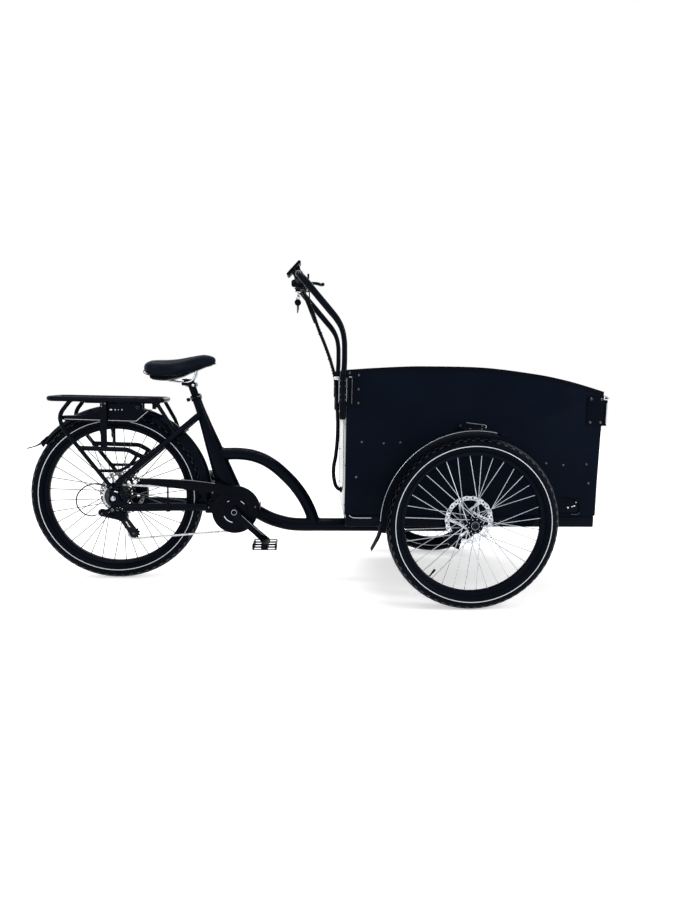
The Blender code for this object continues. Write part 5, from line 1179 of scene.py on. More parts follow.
def caliper(centre, axle, name, body, node, foot):
  """A brake caliper bent round the disc's edge: its slit, cooling slots, pistons, bolts and the hose's banjo."""
  x, y, z = centre
  middle = (axle[0], axle[2])
  away = Vector((x - axle[0], 0, z - axle[2]))
  round_at, at = atan2(away.z, away.x), away.length
  away.normalize()
  along = Vector((-away.z, 0, away.x))
  half = .031 / at
  outer = arc(middle, at + .0225, round_at - half, round_at + half, 9)
  inner = arc(middle, at - .0235, round_at + half * .8, round_at - half * .8, 7)
  shell = plate([rounded(outer + inner, .007, 4)], (y - .015, y + .015), .003, 3)
  slit = rod((axle[0], y - .0022, axle[2]), (axle[0], y + .0022, axle[2]), ROTOR_R + .0025, sides=96)
  grooves = []
  for share in (-.55, 0, .55):
    a = round_at + half * share
    slot = [link((axle[0] + (at + .006) * cos(a), axle[2] + (at + .006) * sin(a)),
        (axle[0] + (at + .03) * cos(a), axle[2] + (at + .03) * sin(a)), .002, .002)]
    grooves += [plate(slot, (y + side * .0138, y + side * .02)) for side in (-1, 1)]
  shell = cut_out(shell, slit, *grooves)
  pistons = [turned(mm2(14.4, 9.2, 15, 9.8, 16, 9.4, 16.3, 8), tuple(Vector(centre) - away * .006), 32, along=side)
      for side in (-1, 1)]
  lug = block(foot[0], foot[1], foot[2], .0015, 2)
  finish(name, body, SATIN, [shell, lug] + pistons, [node])
  side = 1 if y > 0 else -1
  bits = [socket_bolt(tuple(Vector((x, y + side * .0149, z)) + along * reach), side, .004, .0026)
      for reach in (-.023, .023)]
  end = Vector((x, y - side * .008, z)) + away * .0215
  bits.append(rod(tuple(end), tuple(end + away * .0065), .0042, .0008, 12))
  finish(name + "_bolts", body, SCREWS, bits)


def make_seat():
  """Post, its two-part clamp and bolts, and the bent rails."""
  base, jaw, lid = SEAT_FOOT, .7857, .7933
  post = turned(mm2(-115, 13, -115, 13.9, -114.5, 14.5, 106, 14.5, 109, 15.5, 114, 15.5), base, 48, along=SEAT_LEAN)
  cradle = block((.2525, .3055), (-.0265, .0265), (jaw - .0125, jaw), .003, 3)
  barrel = rod((.297, -.0268, jaw - .0105), (.297, .0268, jaw - .0105), .0098, .0015, 32)
  cap = block((.2542, .2818), (-.0268, .0268), (lid, lid + .0058), .0022, 3)
  between = block((.259, .2775), (-.016, .016), (jaw - .003, lid + .002), .001, 2)
  finish("seatpost_and_clamp", "seat", SATIN, [post, cradle, barrel, cap, between], ["seatpost"])
  bolts = [rod((.268, y, jaw - .0175), (.268, y, lid + .0082), .0026, .0004, 14) for y in (-.008, .008)]
  bolts += [rod((.268, y, jaw - .0185), (.268, y, jaw - .0125), .0048, .0008, 6) for y in (-.008, .008)]
  bolts += [socket_bolt((.297, side * .0266, jaw - .0105), side, .0056, .003) for side in (-1, 1)]
  finish("seat_clamp_bolts", "seat", BRIGHT_STEEL, bolts)
  rails = []
  for side in (-1, 1):
    rails.append(pipe(mm3(176, 30, 812, 188, 26.2, 806, 201, 22.2, 793, 215, 21.5, 789.5, 284, 21.5, 789.5, 297,
        20.5, 801, 310, 16.5, 840, 318, 14, 856, side=side), .0034, 5, 10))
  finish("saddle_rails", "seat", BRIGHT_STEEL, rails)


def saddle_form(grow=0):
  stations = ((.1155, .06, .856, .822), (.128, .095, .866, .811), (.158, .109, .871, .803), (.2, .105, .871, .801),
      (.24, .083, .875, .807), (.275, .053, .883, .819), (.31, .037, .891, .839), (.345, .032, .8975, .846),
      (.376, .023, .891, .855))
  outline = ((0, 1), (.32, .995), (.62, .965), (.86, .87), (.97, .7), (.99, .44), (.95, .18), (.84, .02), (.45, 0))
  rings = []
  for x, half, top, bottom in stations:
    half, top, bottom = half - grow, top - grow, bottom + grow
    right = [(x, -half * w, bottom + (top - bottom) * h) for w, h in outline]
    rings.append(right + [(px, -py, pz) for px, py, pz in reversed(right[1:])])
  first = [(.112 + grow, y * .62, z * .62 + .839 * .38) for x, y, z in rings[0]]
  last = [(.3855 - grow, y * .55, z * .55 + .873 * .45) for x, y, z in rings[-1]]
  return skin([first] + rings + [last])


def make_saddle():
  """Padded cover blown up under its own skin, then a welt round its lower edge and a shell below."""
  cover = saddle_form(.0022)
  smooth = cover.modifiers.new("round", "SUBSURF")
  smooth.levels = smooth.render_levels = 2
  apply_all(cover)
  remesh = cover.modifiers.new("skin", "REMESH")
  remesh.mode = "VOXEL"
  remesh.voxel_size = .0042
  apply_all(cover)
  start = [v.co.copy() for v in cover.data.vertices]
  soft = cover.modifiers.new("padding", "CLOTH")
  soft.settings.use_pressure = True
  soft.settings.uniform_pressure_force = 4
  soft.settings.effector_weights.gravity = 0
  soft.settings.quality = 5
  for step in range(1, 21):
    bpy.context.scene.frame_set(step)
  blown = cover.evaluated_get(bpy.context.evaluated_depsgraph_get()).to_mesh()
  moved = [v.co.copy() for v in blown.vertices]
  cover.modifiers.remove(soft)
  bpy.context.scene.frame_set(1)
  for vertex, old, new in zip(cover.data.vertices, start, moved):
    shift = new - old
    if shift.length > .0024:
      shift = shift.normalized() * .0024
    vertex.co = old + shift
  calm = cover.modifiers.new("calm", "SMOOTH")
  calm.factor, calm.iterations = .5, 6
  smooth = cover.modifiers.new("round", "SUBSURF")
  smooth.levels = smooth.render_levels = 1
  apply_all(cover)
  cover = finish("saddle_cover", "seat", VINYL, [cover], ["saddle"], 60)
  right = mm3(117.5, -56, 828, 130, -90.5, 817, 158, -105, 810.5, 200, -101.5, 809.5, 240, -80.5, 815, 275, -51.5,
      827, 310, -35.7, 846, 345, -30.8, 852.5, 374.5, -20.5, 860)
  welt = pipe(right + [(x, -y, z) for x, y, z in reversed(right)], .0016, 2, 8, closed=True)
  finish("saddle_welt", "seat", PLASTIC, [welt])
  rings = []
  for x, half, top, bottom in ((.139, .058, .816, .804), (.143, .074, .814, .797), (.153, .083, .812, .7925),
      (.175, .086, .81, .79), (.202, .08, .81, .7903), (.223, .068, .814, .795), (.25, .05, .82, .804),
      (.285, .032, .834, .82), (.33, .022, .85, .84), (.36, .014, .862, .853)):
    rings.append([(x, half * copysign(abs(cos(a)) ** .7, cos(a)), (top + bottom) / 2
        + (top - bottom) / 2 * copysign(abs(sin(a)) ** .6, sin(a))) for a in (tau * i / 28 for i in range(28))])
  finish("saddle_under_shell", "seat", PLASTIC, [skin(rings)])


def make_frame():
  make_main_frame()
  make_motor()
  make_chain_guard()
  caliper((.078, .0512, .352), (0, .0512, .333), "rear_brake_caliper", FRAME, "rear_caliper",
      mm2(67, 99, 55.5, 77, 300.5, 330))
  make_seat()
  make_saddle()


# Rear fender, rack and battery

def blade_of_fender(centre, radius, half, edge_drop, span, steps, thick, front_drop=0):
  """An arched blade with a crowned section; its edges may reach lower by front_drop at its front end."""
  rings = []
  for i in range(steps + 1):
    share = i / steps
    a = span[0] + (span[1] - span[0]) * share
    ahead = max(0, min(1, (.56 - share) / .14))
    drop = edge_drop + front_drop * ahead * ahead * (3 - 2 * ahead)
    section = [(half * t, radius - drop * abs(t) ** 2.6) for t in (k / 6 - 1 for k in range(13))]
    ring = section + [(y * (1 - .0016 / half), r - thick) for y, r in reversed(section)]
    rings.append([(centre[0] + r * cos(a), centre[1] + y, centre[2] + r * sin(a)) for y, r in ring])
  return skin(rings)


def flap_from(points, half, thick=.003, tip=None):
  """A soft mud flap: a thin strip along (x, z) points that narrows, thins and turns out."""
  rings = []
  for k, (x, z) in enumerate(points):
    before, after = points[max(k - 1, 0)], points[min(k + 1, len(points) - 1)]
    depth = thick + ((thick if tip is None else tip) - thick) * k / (len(points) - 1)
    normal = Vector((before[1] - after[1], after[0] - before[0])).normalized() * depth / 2
    wide = half * (1 - .1 * (k / (len(points) - 1)) ** 2)
    bow = .003
    rings.append([(x + normal.x * side, wide * share, z + normal.y * side + bow * (1 - share * share) * .4)
        for side, shares in ((1, (-1, -.6, -.2, .2, .6, 1)), (-1, (1, .6, .2, -.2, -.6, -1))) for share in shares])
  return skin(rings)


def make_rear_fender():
  centre = (.01, 0, .336)
  blade = blade_of_fender(centre, .357, .03, .016, (radians(8.6), radians(146.3)), 64, .0024, .018)
  foot = blade_of_fender(centre, .3545, .0285, .0315, (radians(-2.6), radians(9.6)), 8, .0022)
  over = .357 + .0033
  angle = radians(45.6)
  bridge = rod((centre[0] + over * cos(angle), -.045, centre[2] + over * sin(angle)),
      (centre[0] + over * cos(angle), .045, centre[2] + over * sin(angle)), .0058, .001, 20)
  flap = flap_from(mm2(-271.5, 552, -286, 540, -300, 530, -320, 521.5, -339, 516.5), .022)
  holder = flap_from(mm2(-260, 564, -270, 554, -284, 542.5), .0245, .005)
  finish("rear_fender_blade", FRAME, GLOSS, [blade], ["rear_fender"], 40)
  finish("rear_fender_bridge_and_foot", FRAME, GLOSS, [bridge, foot], (), 40)
  finish("rear_mud_flap", FRAME, GRIP_RUBBER, [flap, holder])
  rivets = [socket_bolt((-.2745, y, .553), (-.62, 0, .78), .003, .0018) for y in (-.012, .012)]
  finish("mud_flap_rivets", FRAME, SILVER, rivets)


def make_rack():
  deck_z, deck_y, leg_y = .715, .075, .0855
  rim = []
  for k, (x, y) in enumerate(((1, 1), (-1, 1), (-1, -1), (1, -1))):
    middle = ((.184 if x > 0 else -.237) - x * .03, y * (deck_y - .03))
    rim += arc(middle, .03, k * pi / 2, (k + 1) * pi / 2, 5)
  deck = pipe([(x, y, deck_z) for x, y in rim], .01, 8, 6, closed=True)
  slats = [rod((x, -deck_y + .004, deck_z - .001), (x, deck_y - .004, deck_z - .001), .0052, sides=16)
      for x in (-.13, -.027, .085)]
  bars, rails, feet = [], [], []
  for side in (-1, 1):
    y = side * leg_y
    bars.append(bent([(-.146, side * .0745, .715), (-.16, side * .0845, .695), (-.182, y, .6655), (-.1875, y, .642),
        (-.18, y, .608), (-.006, y, .3805)], .0078, .016))
    bars.append(bent(mm3(162, 74.5, 714.5, 210, 62, 632, 228.5, 50.5, 590, side=side), .0074))
    bars.append(bent([(-.06, y, .449), (-.048, y, .4425), (.026, y, .4425), (.062, y, .46), (.086, y, .489),
        (.094, y, .508)], .0062))
    rails.append(bent([(-.122, y, .529), (.06, y, .5255), (.092, side * .0845, .508), (.122, side * .0635, .49)],
        .0092, .014))
    feet.append(plate([link((-.006, .3805), (-.018, .3957), .0095, .007)],
        (side * (leg_y - .003), side * (leg_y + .003)), .0008, 1))
  joints = []
  for bar in bars:
    joints += weld(bar, deck, .0016, .003)
  for rail, legs in zip(rails, (bars[0:3], bars[3:6])):
    joints += weld(rail, legs[0], .0016, .003) + weld(rail, legs[2], .0016, .003)
  finish("rack_deck", FRAME, GLOSS, [deck] + slats, ["rear_rack"], 40)
  finish("rack_legs", FRAME, GLOSS, bars + rails + feet + joints, (), 40)
  strap = block((-.0395, -.0155), (-.0845, -.088), (.5215, .718), .0011, 2)
  hook = block((-.0385, -.0165), (-.066, -.0865), (.719, .7215), .0008, 1)
  far_strap = block((-.0455, -.033), (.084, .0872), (.5275, .717), .001, 2)
  dock = block((-.1, .1095), (-.0505, -.0745), (.7005, .71), .003, 2)
  nose = rounded(mm2(100, 708.5, 178, 708.5, 176, 695.5, 166, 695.5, 162, 681, 149, 681, 149, 701.5, 119, 701.5,
      119, 682, 114, 682, 114, 701.5, 100, 701.5), .002, 3)
  nose = plate([nose], (-.056, -.066), .0008, 1)
  groove = block((-.145, .105), (-.0735, -.0765), (.7035, .707))
  finish("rack_side_straps", FRAME, GRIP_RUBBER, [strap, hook, far_strap])
  finish("battery_dock", FRAME, PLASTIC, [cut_out(dock, groove), nose])
  bolts = [socket_bolt((x, -.0879, z), -1, .0034, .0018) for x, z in mm2(-33.5, 700, -21.5, 700, -33.5, 690, -27.5,
      532)]
  nuts = []
  for side in (-1, 1):
    bolts.append(socket_bolt((-.006, side * (leg_y + .003), .3805), side, .0052, .003))
    nuts.append(turned(mm2(75.6, 9.2, 77, 10, 79, 10, 79.5, 8.8, 85.5, 8, 86.2, 6.2), REAR_AXLE, 6, along=side))
    bolts.append(rod((-.006, side * .0757, .3805), (-.006, side * .083, .3805), .0048, .0004, 16))
  finish("rear_axle_nuts", FRAME, SPOKE_STEEL, nuts)
  finish("rear_end_bolts", FRAME, SCREWS, bolts)


def make_battery():
  """Slim pack with a wedge tail, a pale strip along its lower seam that is a painted highlight, charge lights and a
  lock.
  """
  outline = rounded(mm2(-190, 640, -170, 630, 96, 630, 143, 672, 140, 678, 112, 679, 112, 700, -31, 700, -36, 676.5,
      -80, 662, -117, 652.5, -190, 650), .005, 4)
  case = plate([outline], (-.0346, -.0754), .0035, 3)
  # The pale strip along the pack's lower edge is a painted highlight.
  highlight_outline = rounded(mm2(-200, 640, -150, 638.5, 90, 635.2, 134.5, 674.5, 136, 674, 91.2, 633.8, -150, 637.1, -200,
      638.6), .004, 4)
  finish("battery_case", "battery_pack", PLASTIC, [case], ["battery"])
  edge_highlight = plate([highlight_outline], (-.075, -.0758))
  keep = block((-.186, .14), (-.07, -.08), (.6, .72))
  inside = edge_highlight.modifiers.new("ends", "BOOLEAN")
  inside.operation, inside.solver, inside.object = "INTERSECT", "EXACT", keep
  apply_all(edge_highlight)
  scrap(keep)
  finish("battery_painted_edge_highlight", "battery_pack", SILVER, [edge_highlight])
  lights = [turned([(.0752, r), (.076, r * .95), (.0762, r * .6)], (x, 0, .677), 12, along=-1)
      for x, r in mm2(-5, 2.4, -.5, 2.8, 13.5, 2.2, 25.5, 1.6, 38.5, 2.2)]
  finish("battery_charge_lights", "battery_pack", WHITE_LENS, lights)
  lock = turned(mm2(75, 6.5, 76.2, 6.8, 76.8, 6, 76.6, 2, 75.8, 1.8), (.096, 0, .6875), 28, along=-1)
  finish("battery_lock", "battery_pack", DARK_STEEL, [lock])


def make_rear():
  make_rear_fender()
  make_rack()
  make_battery()


# Cargo box

SIDE_TOP = mm2(885, 846, 931, 852, 1003, 858, 1075, 863, 1169, 867, 1381, 867, 1568, 849, 1669, 832.5, 1746, 815,
    1840, 789)


def smooth_top():
  points = []
  n = len(SIDE_TOP)
  for i in range(n - 1):
    p0, p1 = SIDE_TOP[max(i - 1, 0)], SIDE_TOP[i]
    p2, p3 = SIDE_TOP[i + 1], SIDE_TOP[min(i + 2, n - 1)]
    for k in range(5):
      t = k / 5
      points.append(tuple(.5 * (2 * b + (c - a) * t + (2 * a - 5 * b + 4 * c - d) * t * t
          + (3 * b - a - 3 * c + d) * t ** 3) for a, b, c, d in zip(p0, p1, p2, p3)))
  return points + [SIDE_TOP[-1]]


def make_box_sides():
  top = smooth_top()
  outline = [(1.832, .3206)] + top[::-1] + [(.885, .3206)]
  for word, side in SIDES:
    panel = plate([outline], (side * .2882, side * .3), .0012, 2)
    lamp = rounded(mm2(1686, 328, 1768, 328, 1776, 345, 1772, 368, 1752, 386, 1720, 393, 1686, 393), .006, 4)
    pocket = plate([lamp], (side * .294, side * .31))
    panel = cut_out(panel, pocket)
    trims = []
    edge = [(x, z + .001) for x, z in top] + [(x, z - .015) for x, z in reversed(top)]
    trims.append(plate([edge], (side * .2872, side * .301), .001, 2))
    cleats = [block(x, (side * .27, side * .2884), (z - .018, z), .0015, 2)
        for x, z in (((.901, 1.107), .5817), ((1.648, 1.816), .5097))]
    finish("box_side_panel_" + word, BOX, PANEL_BLACK, [panel] + cleats, ["box_side_" + word], 28)
    finish("box_side_edge_strip_" + word, BOX, PLASTIC, trims, (), 28)
    screws = []
    for x, z in mm2(943, 590, 1023, 586, 1084, 590, 925, 461, 1634, 520, 1700, 514, 1789, 518, 1801, 446):
      screws.append(socket_bolt((x, side * .2999, z), side, .0038, .0019))
    finish("box_side_screws_" + word, BOX, SCREWS, screws)
    middle = (1.731, .3605)
    ring = [[(middle[0] + (x - middle[0]) * k, middle[1] + (z - middle[1]) * k) for x, z in lamp]
        for k in (.985, .93)]
    tray = [plate([ring[0]], (side * .2943, side * .2955), .0003, 1),
        plate(ring, (side * .2943, side * .2992), .0005, 1)]
    finish("marker_lamp_tray_" + word, BOX, GLOSS, tray)
    # A thin bright line round the tray's lower corner: a painted highlight.
    lip = pipe(mm3(1742, 300.4, 327.2, 1766, 300.4, 327.6, 1772.5, 300.4, 333.5, side=side), .0006, 2, 6)
    finish("marker_lamp_painted_highlight_" + word, BOX, LEVER_ALLOY, [lip])
    lenses = []
    for x, z, r in mm3(1728.5, 351, 3.6, 1744, 355, 2.6, 1752.5, 358, 3.4, 1758.5, 372, 2.4):
      lenses.append(turned([(.295, r), (.2966, r), (.2978, r * .85), (.2984, r * .5)], (x, 0, z), 20, along=side))
    finish("marker_lamp_lights_" + word, BOX, WHITE_LENS, lenses)


def make_box_panels():
  inner = .2877

  def wall(x, top, hole=None):
    """An upright panel across the box, its upper edge eased."""
    panel = block(x, (-inner, inner), (.3206, top), .0012, 2)
    if hole:
      tool = rod((x[0] - .02, 0, hole), (x[1] + .02, 0, hole), .0078, sides=32)
      panel = cut_out(panel, tool)
    rail = block((x[0] - .001, x[1] + .001), (-inner, inner), (top - .0085, top + .0008), .0012, 2)
    return panel, rail

  rear, rear_rail = wall((.8852, .8968), .846, .362)
  front, front_rail = wall((1.8282, 1.8398), .789)
  finish("box_rear_wall", BOX, WALL_BLACK, [rear], ["box_rear_panel"], 28)
  finish("box_front_wall", BOX, PANEL_BLACK, [front], ["box_front_panel"], 28)
  finish("box_wall_edge_strips", BOX, PLASTIC, [rear_rail, front_rail], (), 28)
  angles = []
  for x, ahead, top in ((.8972, 1, .838), (1.8278, -1, .78)):
    for side in (-1, 1):
      angles.append(block((x, x + ahead * .0018), (side * inner, side * (inner - .022)), (.3335, top), .0005, 1))
      angles.append(block((x, x + ahead * .022), (side * inner, side * (inner - .0018)), (.3335, top), .0005, 1))
  finish("box_corner_angles", BOX, SATIN, angles, (), 28)
  rivets = []
  for x, ahead, rows in ((.899, 1, (.36, .452, .544, .636, .728, .82)),
      (1.826, -1, (.36, .44, .497, .6, .68, .76))):
    for side in (-1, 1):
      for z in rows:
        rivets.append(socket_bolt((x, side * (inner - .012), z), (ahead, 0, 0), .0034, .0016))
  finish("box_inner_rivets", BOX, SILVER, rivets)
  outer = []
  for x, out, rows in ((.8853, -1, (.352, .5, .65)), (1.8397, 1, (.352, .5, .64))):
    for side in (-1, 1):
      for z in rows:
        outer.append(socket_bolt((x, side * .268, z), (out, 0, 0), .0046, .002))
  finish("box_wall_screws", BOX, SCREWS, outer)
  floor = block((.8975, 1.8277), (-inner, inner), (.3206, .3318), .001, 1)
  ribs = [block((.93 + .06 * k, .936 + .06 * k), (-.255, .255), (.3314, .3328), .0006, 1) for k in range(15)]
  finish("box_floor_board", BOX, PANEL_BLACK, [floor] + ribs, ["box_floor"], 28)


def make_benches():
  for name, body, node, hinge, reach, z in (("rear", "rear_bench_body", "rear_bench", .905, .24, .588),
      ("front", "front_bench_body", "front_bench", 1.82, -.215, .516)):
    board = block((hinge + copysign(.001, reach), hinge + reach), (-.2863, .2863), (z - .0059, z + .0059), .0028, 3)
    slot = block((hinge + reach * .82, hinge + reach * .93), (-.045, .045), (z - .02, z + .02), .008, 4)
    board = cut_out(board, slot)
    knuckles = []
    for k in range(13):
      y = -.252 + .042 * k
      knuckles.append(turned([(y - .0198, .0048), (y - .0194, .0054), (y + .0194, .0054), (y + .0198, .0048)],
          (hinge, 0, z), 20))
    leaf = block((hinge + copysign(.002, reach), hinge + copysign(.024, reach)), (-.264, .264),
        (z + .0055, z + .007), .0005, 1)
    finish(name + "_bench_board", body, PANEL_BLACK, [board], [node], 28)
    finish(name + "_bench_hinge", body, DARK_STEEL, knuckles + [leaf])
    screws = [socket_bolt((hinge + copysign(.016, reach), y, z + .0069), UP, .0034, .0014)
        for y in (-.25, -.15, -.05, .05, .15, .25)]
    finish(name + "_bench_screws", body, BRIGHT_STEEL, screws)


def make_chassis():
  """Welded base rails with end caps' seams, axle beam, uprights, stub axles and the kingpin."""
  rails = []
  for side in (-1, 1):
    rails.append(block((.889, 1.832), (side * .266, side * .296), (.276, .32), .004, 3))
  for x in ((.889, .919), (1.802, 1.832)):
    rails.append(block(x, (-.27, .27), (.2765, .3195), .004, 3))
  beam = block((1.31, 1.37), (-.3348, .3348), (.2842, .3188), .004, 3)
  gussets = []
  for side in (-1, 1):
    for ahead in (-1, 1):
      x = 1.34 + ahead * .0295
      wedge = block((x, x + ahead * .045), (side * .2665, side * .2715), (.285, .315), .001, 1)
      gussets.append(wedge)
    gussets.append(block((1.3245, 1.3555), (side * .3132, side * .3338), (.2862, .324), .003, 2))
    gussets.append(turned(mm2(333, 14.5, 334, 15, 336, 15, 336.8, 14), (FRONT_X, 0, .3124), 28, along=side))
  boss = turned(mm2(262.5, 23.5, 263, 25, 272, 26.2, 285, 33), (STEER_X, 0, 0), 48, along=UP)
  pin = rod((STEER_X, 0, .161), (STEER_X, 0, .314), .0138, .002, 32)
  stubs = []
  for side in (-1, 1):
    stubs.append(turned(mm2(330, 10, 438, 10, 438.4, 12.4, 439.2, 12.8, 442, 12.8, 442.8, 12, 442.8, 8, 441.6, 7.5),
        (FRONT_X, 0, .3124), 6, along=side))
  joints = weld(beam, rails[0], .0024, .004) + weld(beam, rails[1], .0024, .004) + weld(boss, beam, .0026, .004)
  finish("base_rails_and_beam", BOX, GLOSS, rails + [beam] + gussets + [boss] + joints, ["front_chassis"], 36)
  finish("kingpin_and_stub_axles", BOX, DARK_STEEL, [pin] + stubs)
  # A thin silver line round each rail's rear bottom corner: a painted highlight.
  highlight_strips = []
  for side in (-1, 1):
    y = side * .2965
    highlight_strips.append(pipe([(.903, y, .3185), (.908, y, .3135), (.916, y, .31), (.93, y, .309), (.984, y, .309)], .0014,
        2, 6))
  finish("base_rail_painted_highlight", BOX, SILVER, highlight_strips)


def make_corner_brackets():
  for word, side in SIDES:
    face, outer = side * .3003, side * .3033
    corners = rounded(mm2(1779, 663, 1846, 663, 1846, 775, 1779, 775), .008, 5)
    wing = plate([corners], (face, outer), .0008, 2)
    front = block((1.8403, 1.856), (side * .272, outer), (.6632, .7748), .003, 3)
    groove = block((1.848, 1.86), (side * .276, side * .299), (.672, .752), .002, 2)
    lid = block((1.85, 1.8565), (side * .28, side * .296), (.678, .746), .0015, 2)
    finish("corner_fitting_" + word, BOX, SATIN, [wing, cut_out(front, groove), lid], ["corner_bracket_" + word],
        30)
    point = rounded(mm2(1838, 760, 1853, 759, 1864.8, 766.5, 1853, 774.5, 1838, 774), .002, 4)
    slot = rounded(mm2(1842, 764, 1850, 764, 1855, 766.7, 1850, 770, 1842, 770), .002, 4)
    nub = join(plate([point, slot], (side * .299, side * .3062), .0006, 1),
        block((1.852, 1.856), (side * .3025, side * .3044), (.67, .748), .0006, 1))
    bolts = [socket_bolt((x, outer, z), side, .0046, .0026) for x, z in mm2(1792, 762, 1792, 676, 1832, 762, 1832,
        676)]
    finish("corner_fitting_nub_" + word, BOX, BRIGHT_STEEL, [nub])
    finish("corner_fitting_bolts_" + word, BOX, SCREWS, bolts)


def make_front_fenders():
  for word, side in SIDES:
    axle = (FRONT_X, side * TRACK, .3124)
    blade = blade_of_fender(axle, .337, .035, .0187, (radians(75), radians(185)), 56, .0024)
    beads = []
    for edge in (-1, 1):
      ring = [(axle[0] + .3175 * cos(a), axle[1] + edge * .0346, axle[2] + .3175 * sin(a))
          for a in (radians(75 + 110 * k / 22) for k in range(23))]
      beads.append(pipe(ring, .0014, 2, 3))
    nose = (axle[0] + .337 * cos(radians(75)), axle[2] + .337 * sin(radians(75)))
    lip = flap_from([(nose[0] - .012, nose[1] + .002), (nose[0] + .002, nose[1] - .003),
        (nose[0] + .012, nose[1] - .0045), (nose[0] + .021, nose[1] - .0005)], .025)
    lip.data.transform(Matrix.Translation((0, axle[1], 0)))
    flap = flap_from(mm2(1007.5, 299, 1006, 280, 999, 260, 988, 239, 976, 217), .0245, .009, .0016)
    flap.data.transform(Matrix.Translation((0, axle[1], 0)))
    face = side * .3003
    shelf = block((1.2932, 1.3928), (face, axle[1] - side * .012), (.6456, .6502), .0012, 2)
    outline = rounded(mm2(1283.2, 645.6, 1402.8, 645.6, 1398.5, 658, 1326, 670.8, 1300, 670.8), .005, 5)
    flange = plate([outline], (face, side * .3032), .0007, 2)
    # A silver line along the fender's crown: a painted highlight.
    crest_highlight = pipe([(axle[0] + .3345 * cos(a), axle[1] + side * .0182, axle[2] + .3345 * sin(a))
        for a in (radians(78 + 100 * k / 22) for k in range(23))], .0011, 2, 3)
    finish("front_fender_blade_" + word, BOX, FENDER_BLACK, [blade] + beads, ["front_fender_" + word], 40)
    finish("front_fender_painted_highlight_" + word, BOX, SILVER, [crest_highlight])
    finish("front_mud_flaps_" + word, BOX, GRIP_RUBBER, [flap, lip])
    finish("fender_bracket_" + word, BOX, SATIN, [shelf, flange])
    # A thin silver line along the bracket's upper and front edge: a painted highlight.
    line = pipe(mm3(1324, 304, 666.8, 1360, 304, 662.8, 1395, 304, 658.4, 1399, 304, 656, 1396.5, 304, 647.5,
        side=side), .0009, 2, 6)
    bolts = [socket_bolt((x, side * .3031, .654), side, .004, .0024) for x in (1.303, 1.384)]
    bolts += [socket_bolt((x, axle[1] - side * .0215, .6501), UP, .0042, .0022) for x in (1.322, 1.364)]
    finish("fender_bracket_painted_edge_highlight_" + word, BOX, SILVER, [line])
    finish("fender_bracket_bolts_" + word, BOX, SCREWS, bolts)


def make_front_calipers():
  for word, side in SIDES:
    y = side * .34
    caliper((1.284, y, .24), (FRONT_X, y, .3124), "front_brake_caliper_" + word, BOX, "front_caliper_" + word,
        ((1.3005, 1.3295), (side * .3192, side * .3338), (.238, .2838)))


def make_box():
  make_box_sides()
  make_box_panels()
  make_benches()
  make_chassis()
  make_corner_brackets()
  make_front_fenders()
  make_front_calipers()


# Handlebar and what is on it

def make_handlebar():
  half = mm3(872, -297, 679, 872, -297, 760, 872.2, -297, 833, 873.8, -297, 848, 874.6, -297, 915, 872.5, -297, 955,
      864, -297, 992, 846.8, -297, 1024, 820, -297, 1056, 790, -297, 1090, 760, -297, 1124, 737, -297, 1150, 718,
      -287, 1171, 709, -268, 1181, 707, -250, 1183, 707, -150, 1183)
  path = half + [(x, -y, z) for x, y, z in reversed(half)]
  drawn_in = [1, 1, 1, .8, .77, .77, .8, .93] + [1] * 8
  bar = pipe(path, BAR_R, 9, 10, widths=drawn_in + drawn_in[::-1])
  finish("hoop_handlebar", BOX, GLOSS, [bar], ["handlebar"], 50)
  plugs = [turned(mm2(670, 9, 674.5, 11.2, 679, 12.4), (.872, side * .297, 0), 28, along=UP) for side in (-1, 1)]
  finish("handlebar_foot_plugs", BOX, PLASTIC, plugs)


def make_bar_clamps():
  for word, side in SIDES:
    y = side * .297
    clamp = block((.8562, .8845), (y - .0163, y + .0163), (.7282, .8238), .0022, 2)
    bore = rod((.872, y, .7), (.872, y, .86), .01275, sides=48)
    slits = [block((.8712, .8728), (y - .03, y - .012), (.7, .86)),
        block((.8712, .8728), (y + .012, y + .03), (.7, .86)), block((.84, .9), (y - .03, y + .03), (.7745, .7765))]
    clamp = cut_out(clamp, bore, *slits)
    face, outer = side * .3003, side * .3033
    outline = rounded(mm2(873.5, 719.2, 936.5, 719.2, 936.5, 841.8, 873.5, 841.8), .006, 5)
    wing = plate([outline], (face, outer), .0007, 2)
    ribs = [block((x, x + .0035), (outer - side * .0005, outer + side * .0075), (.725, .83), .001, 2)
        for x in (.8885, .902)]
    step = block((.8865, .9085), (outer - side * .0005, outer + side * .005), (.819, .833), .0015, 2)
    finish("bar_clamp_body_" + word, BOX, SATIN, [clamp, wing, step] + ribs, ["bar_clamp_" + word], 30)
    # Silver strips down both clamp edges and across the step: painted highlights.
    highlight_lines = [block((x, x + .0012), (y + side * .015, y + side * .0168), (.735, .82), .0004, 1)
        for x in (.8562, .8833)]
    highlight_lines.append(block((.888, .906), (outer + side * .0045, outer + side * .0056), (.8215, .824), .0004, 1))
    bits = [socket_bolt((x, y + side * .0162, z), side, .003, .0022) for x in (.8605, .88)
        for z in (.742, .76, .79, .81)]
    bits += [socket_bolt((x, outer, z), side, .004, .0024) for x, z in mm2(927, 830, 927, 731, 927, 780, 894,
        836.5)]
    finish("bar_clamp_bolts_" + word, BOX, SCREWS, bits)
    finish("bar_clamp_painted_edge_highlights_" + word, BOX, SILVER, highlight_lines)
    # The thin alloy line on the rib is a painted highlight.
    rib_highlight = block((.9023, .9036), (outer + side * .007, outer + side * .0079), (.728, .817), .0003, 1)
    finish("bar_clamp_painted_rib_highlight_" + word, BOX, LEVER_ALLOY, [rib_highlight])


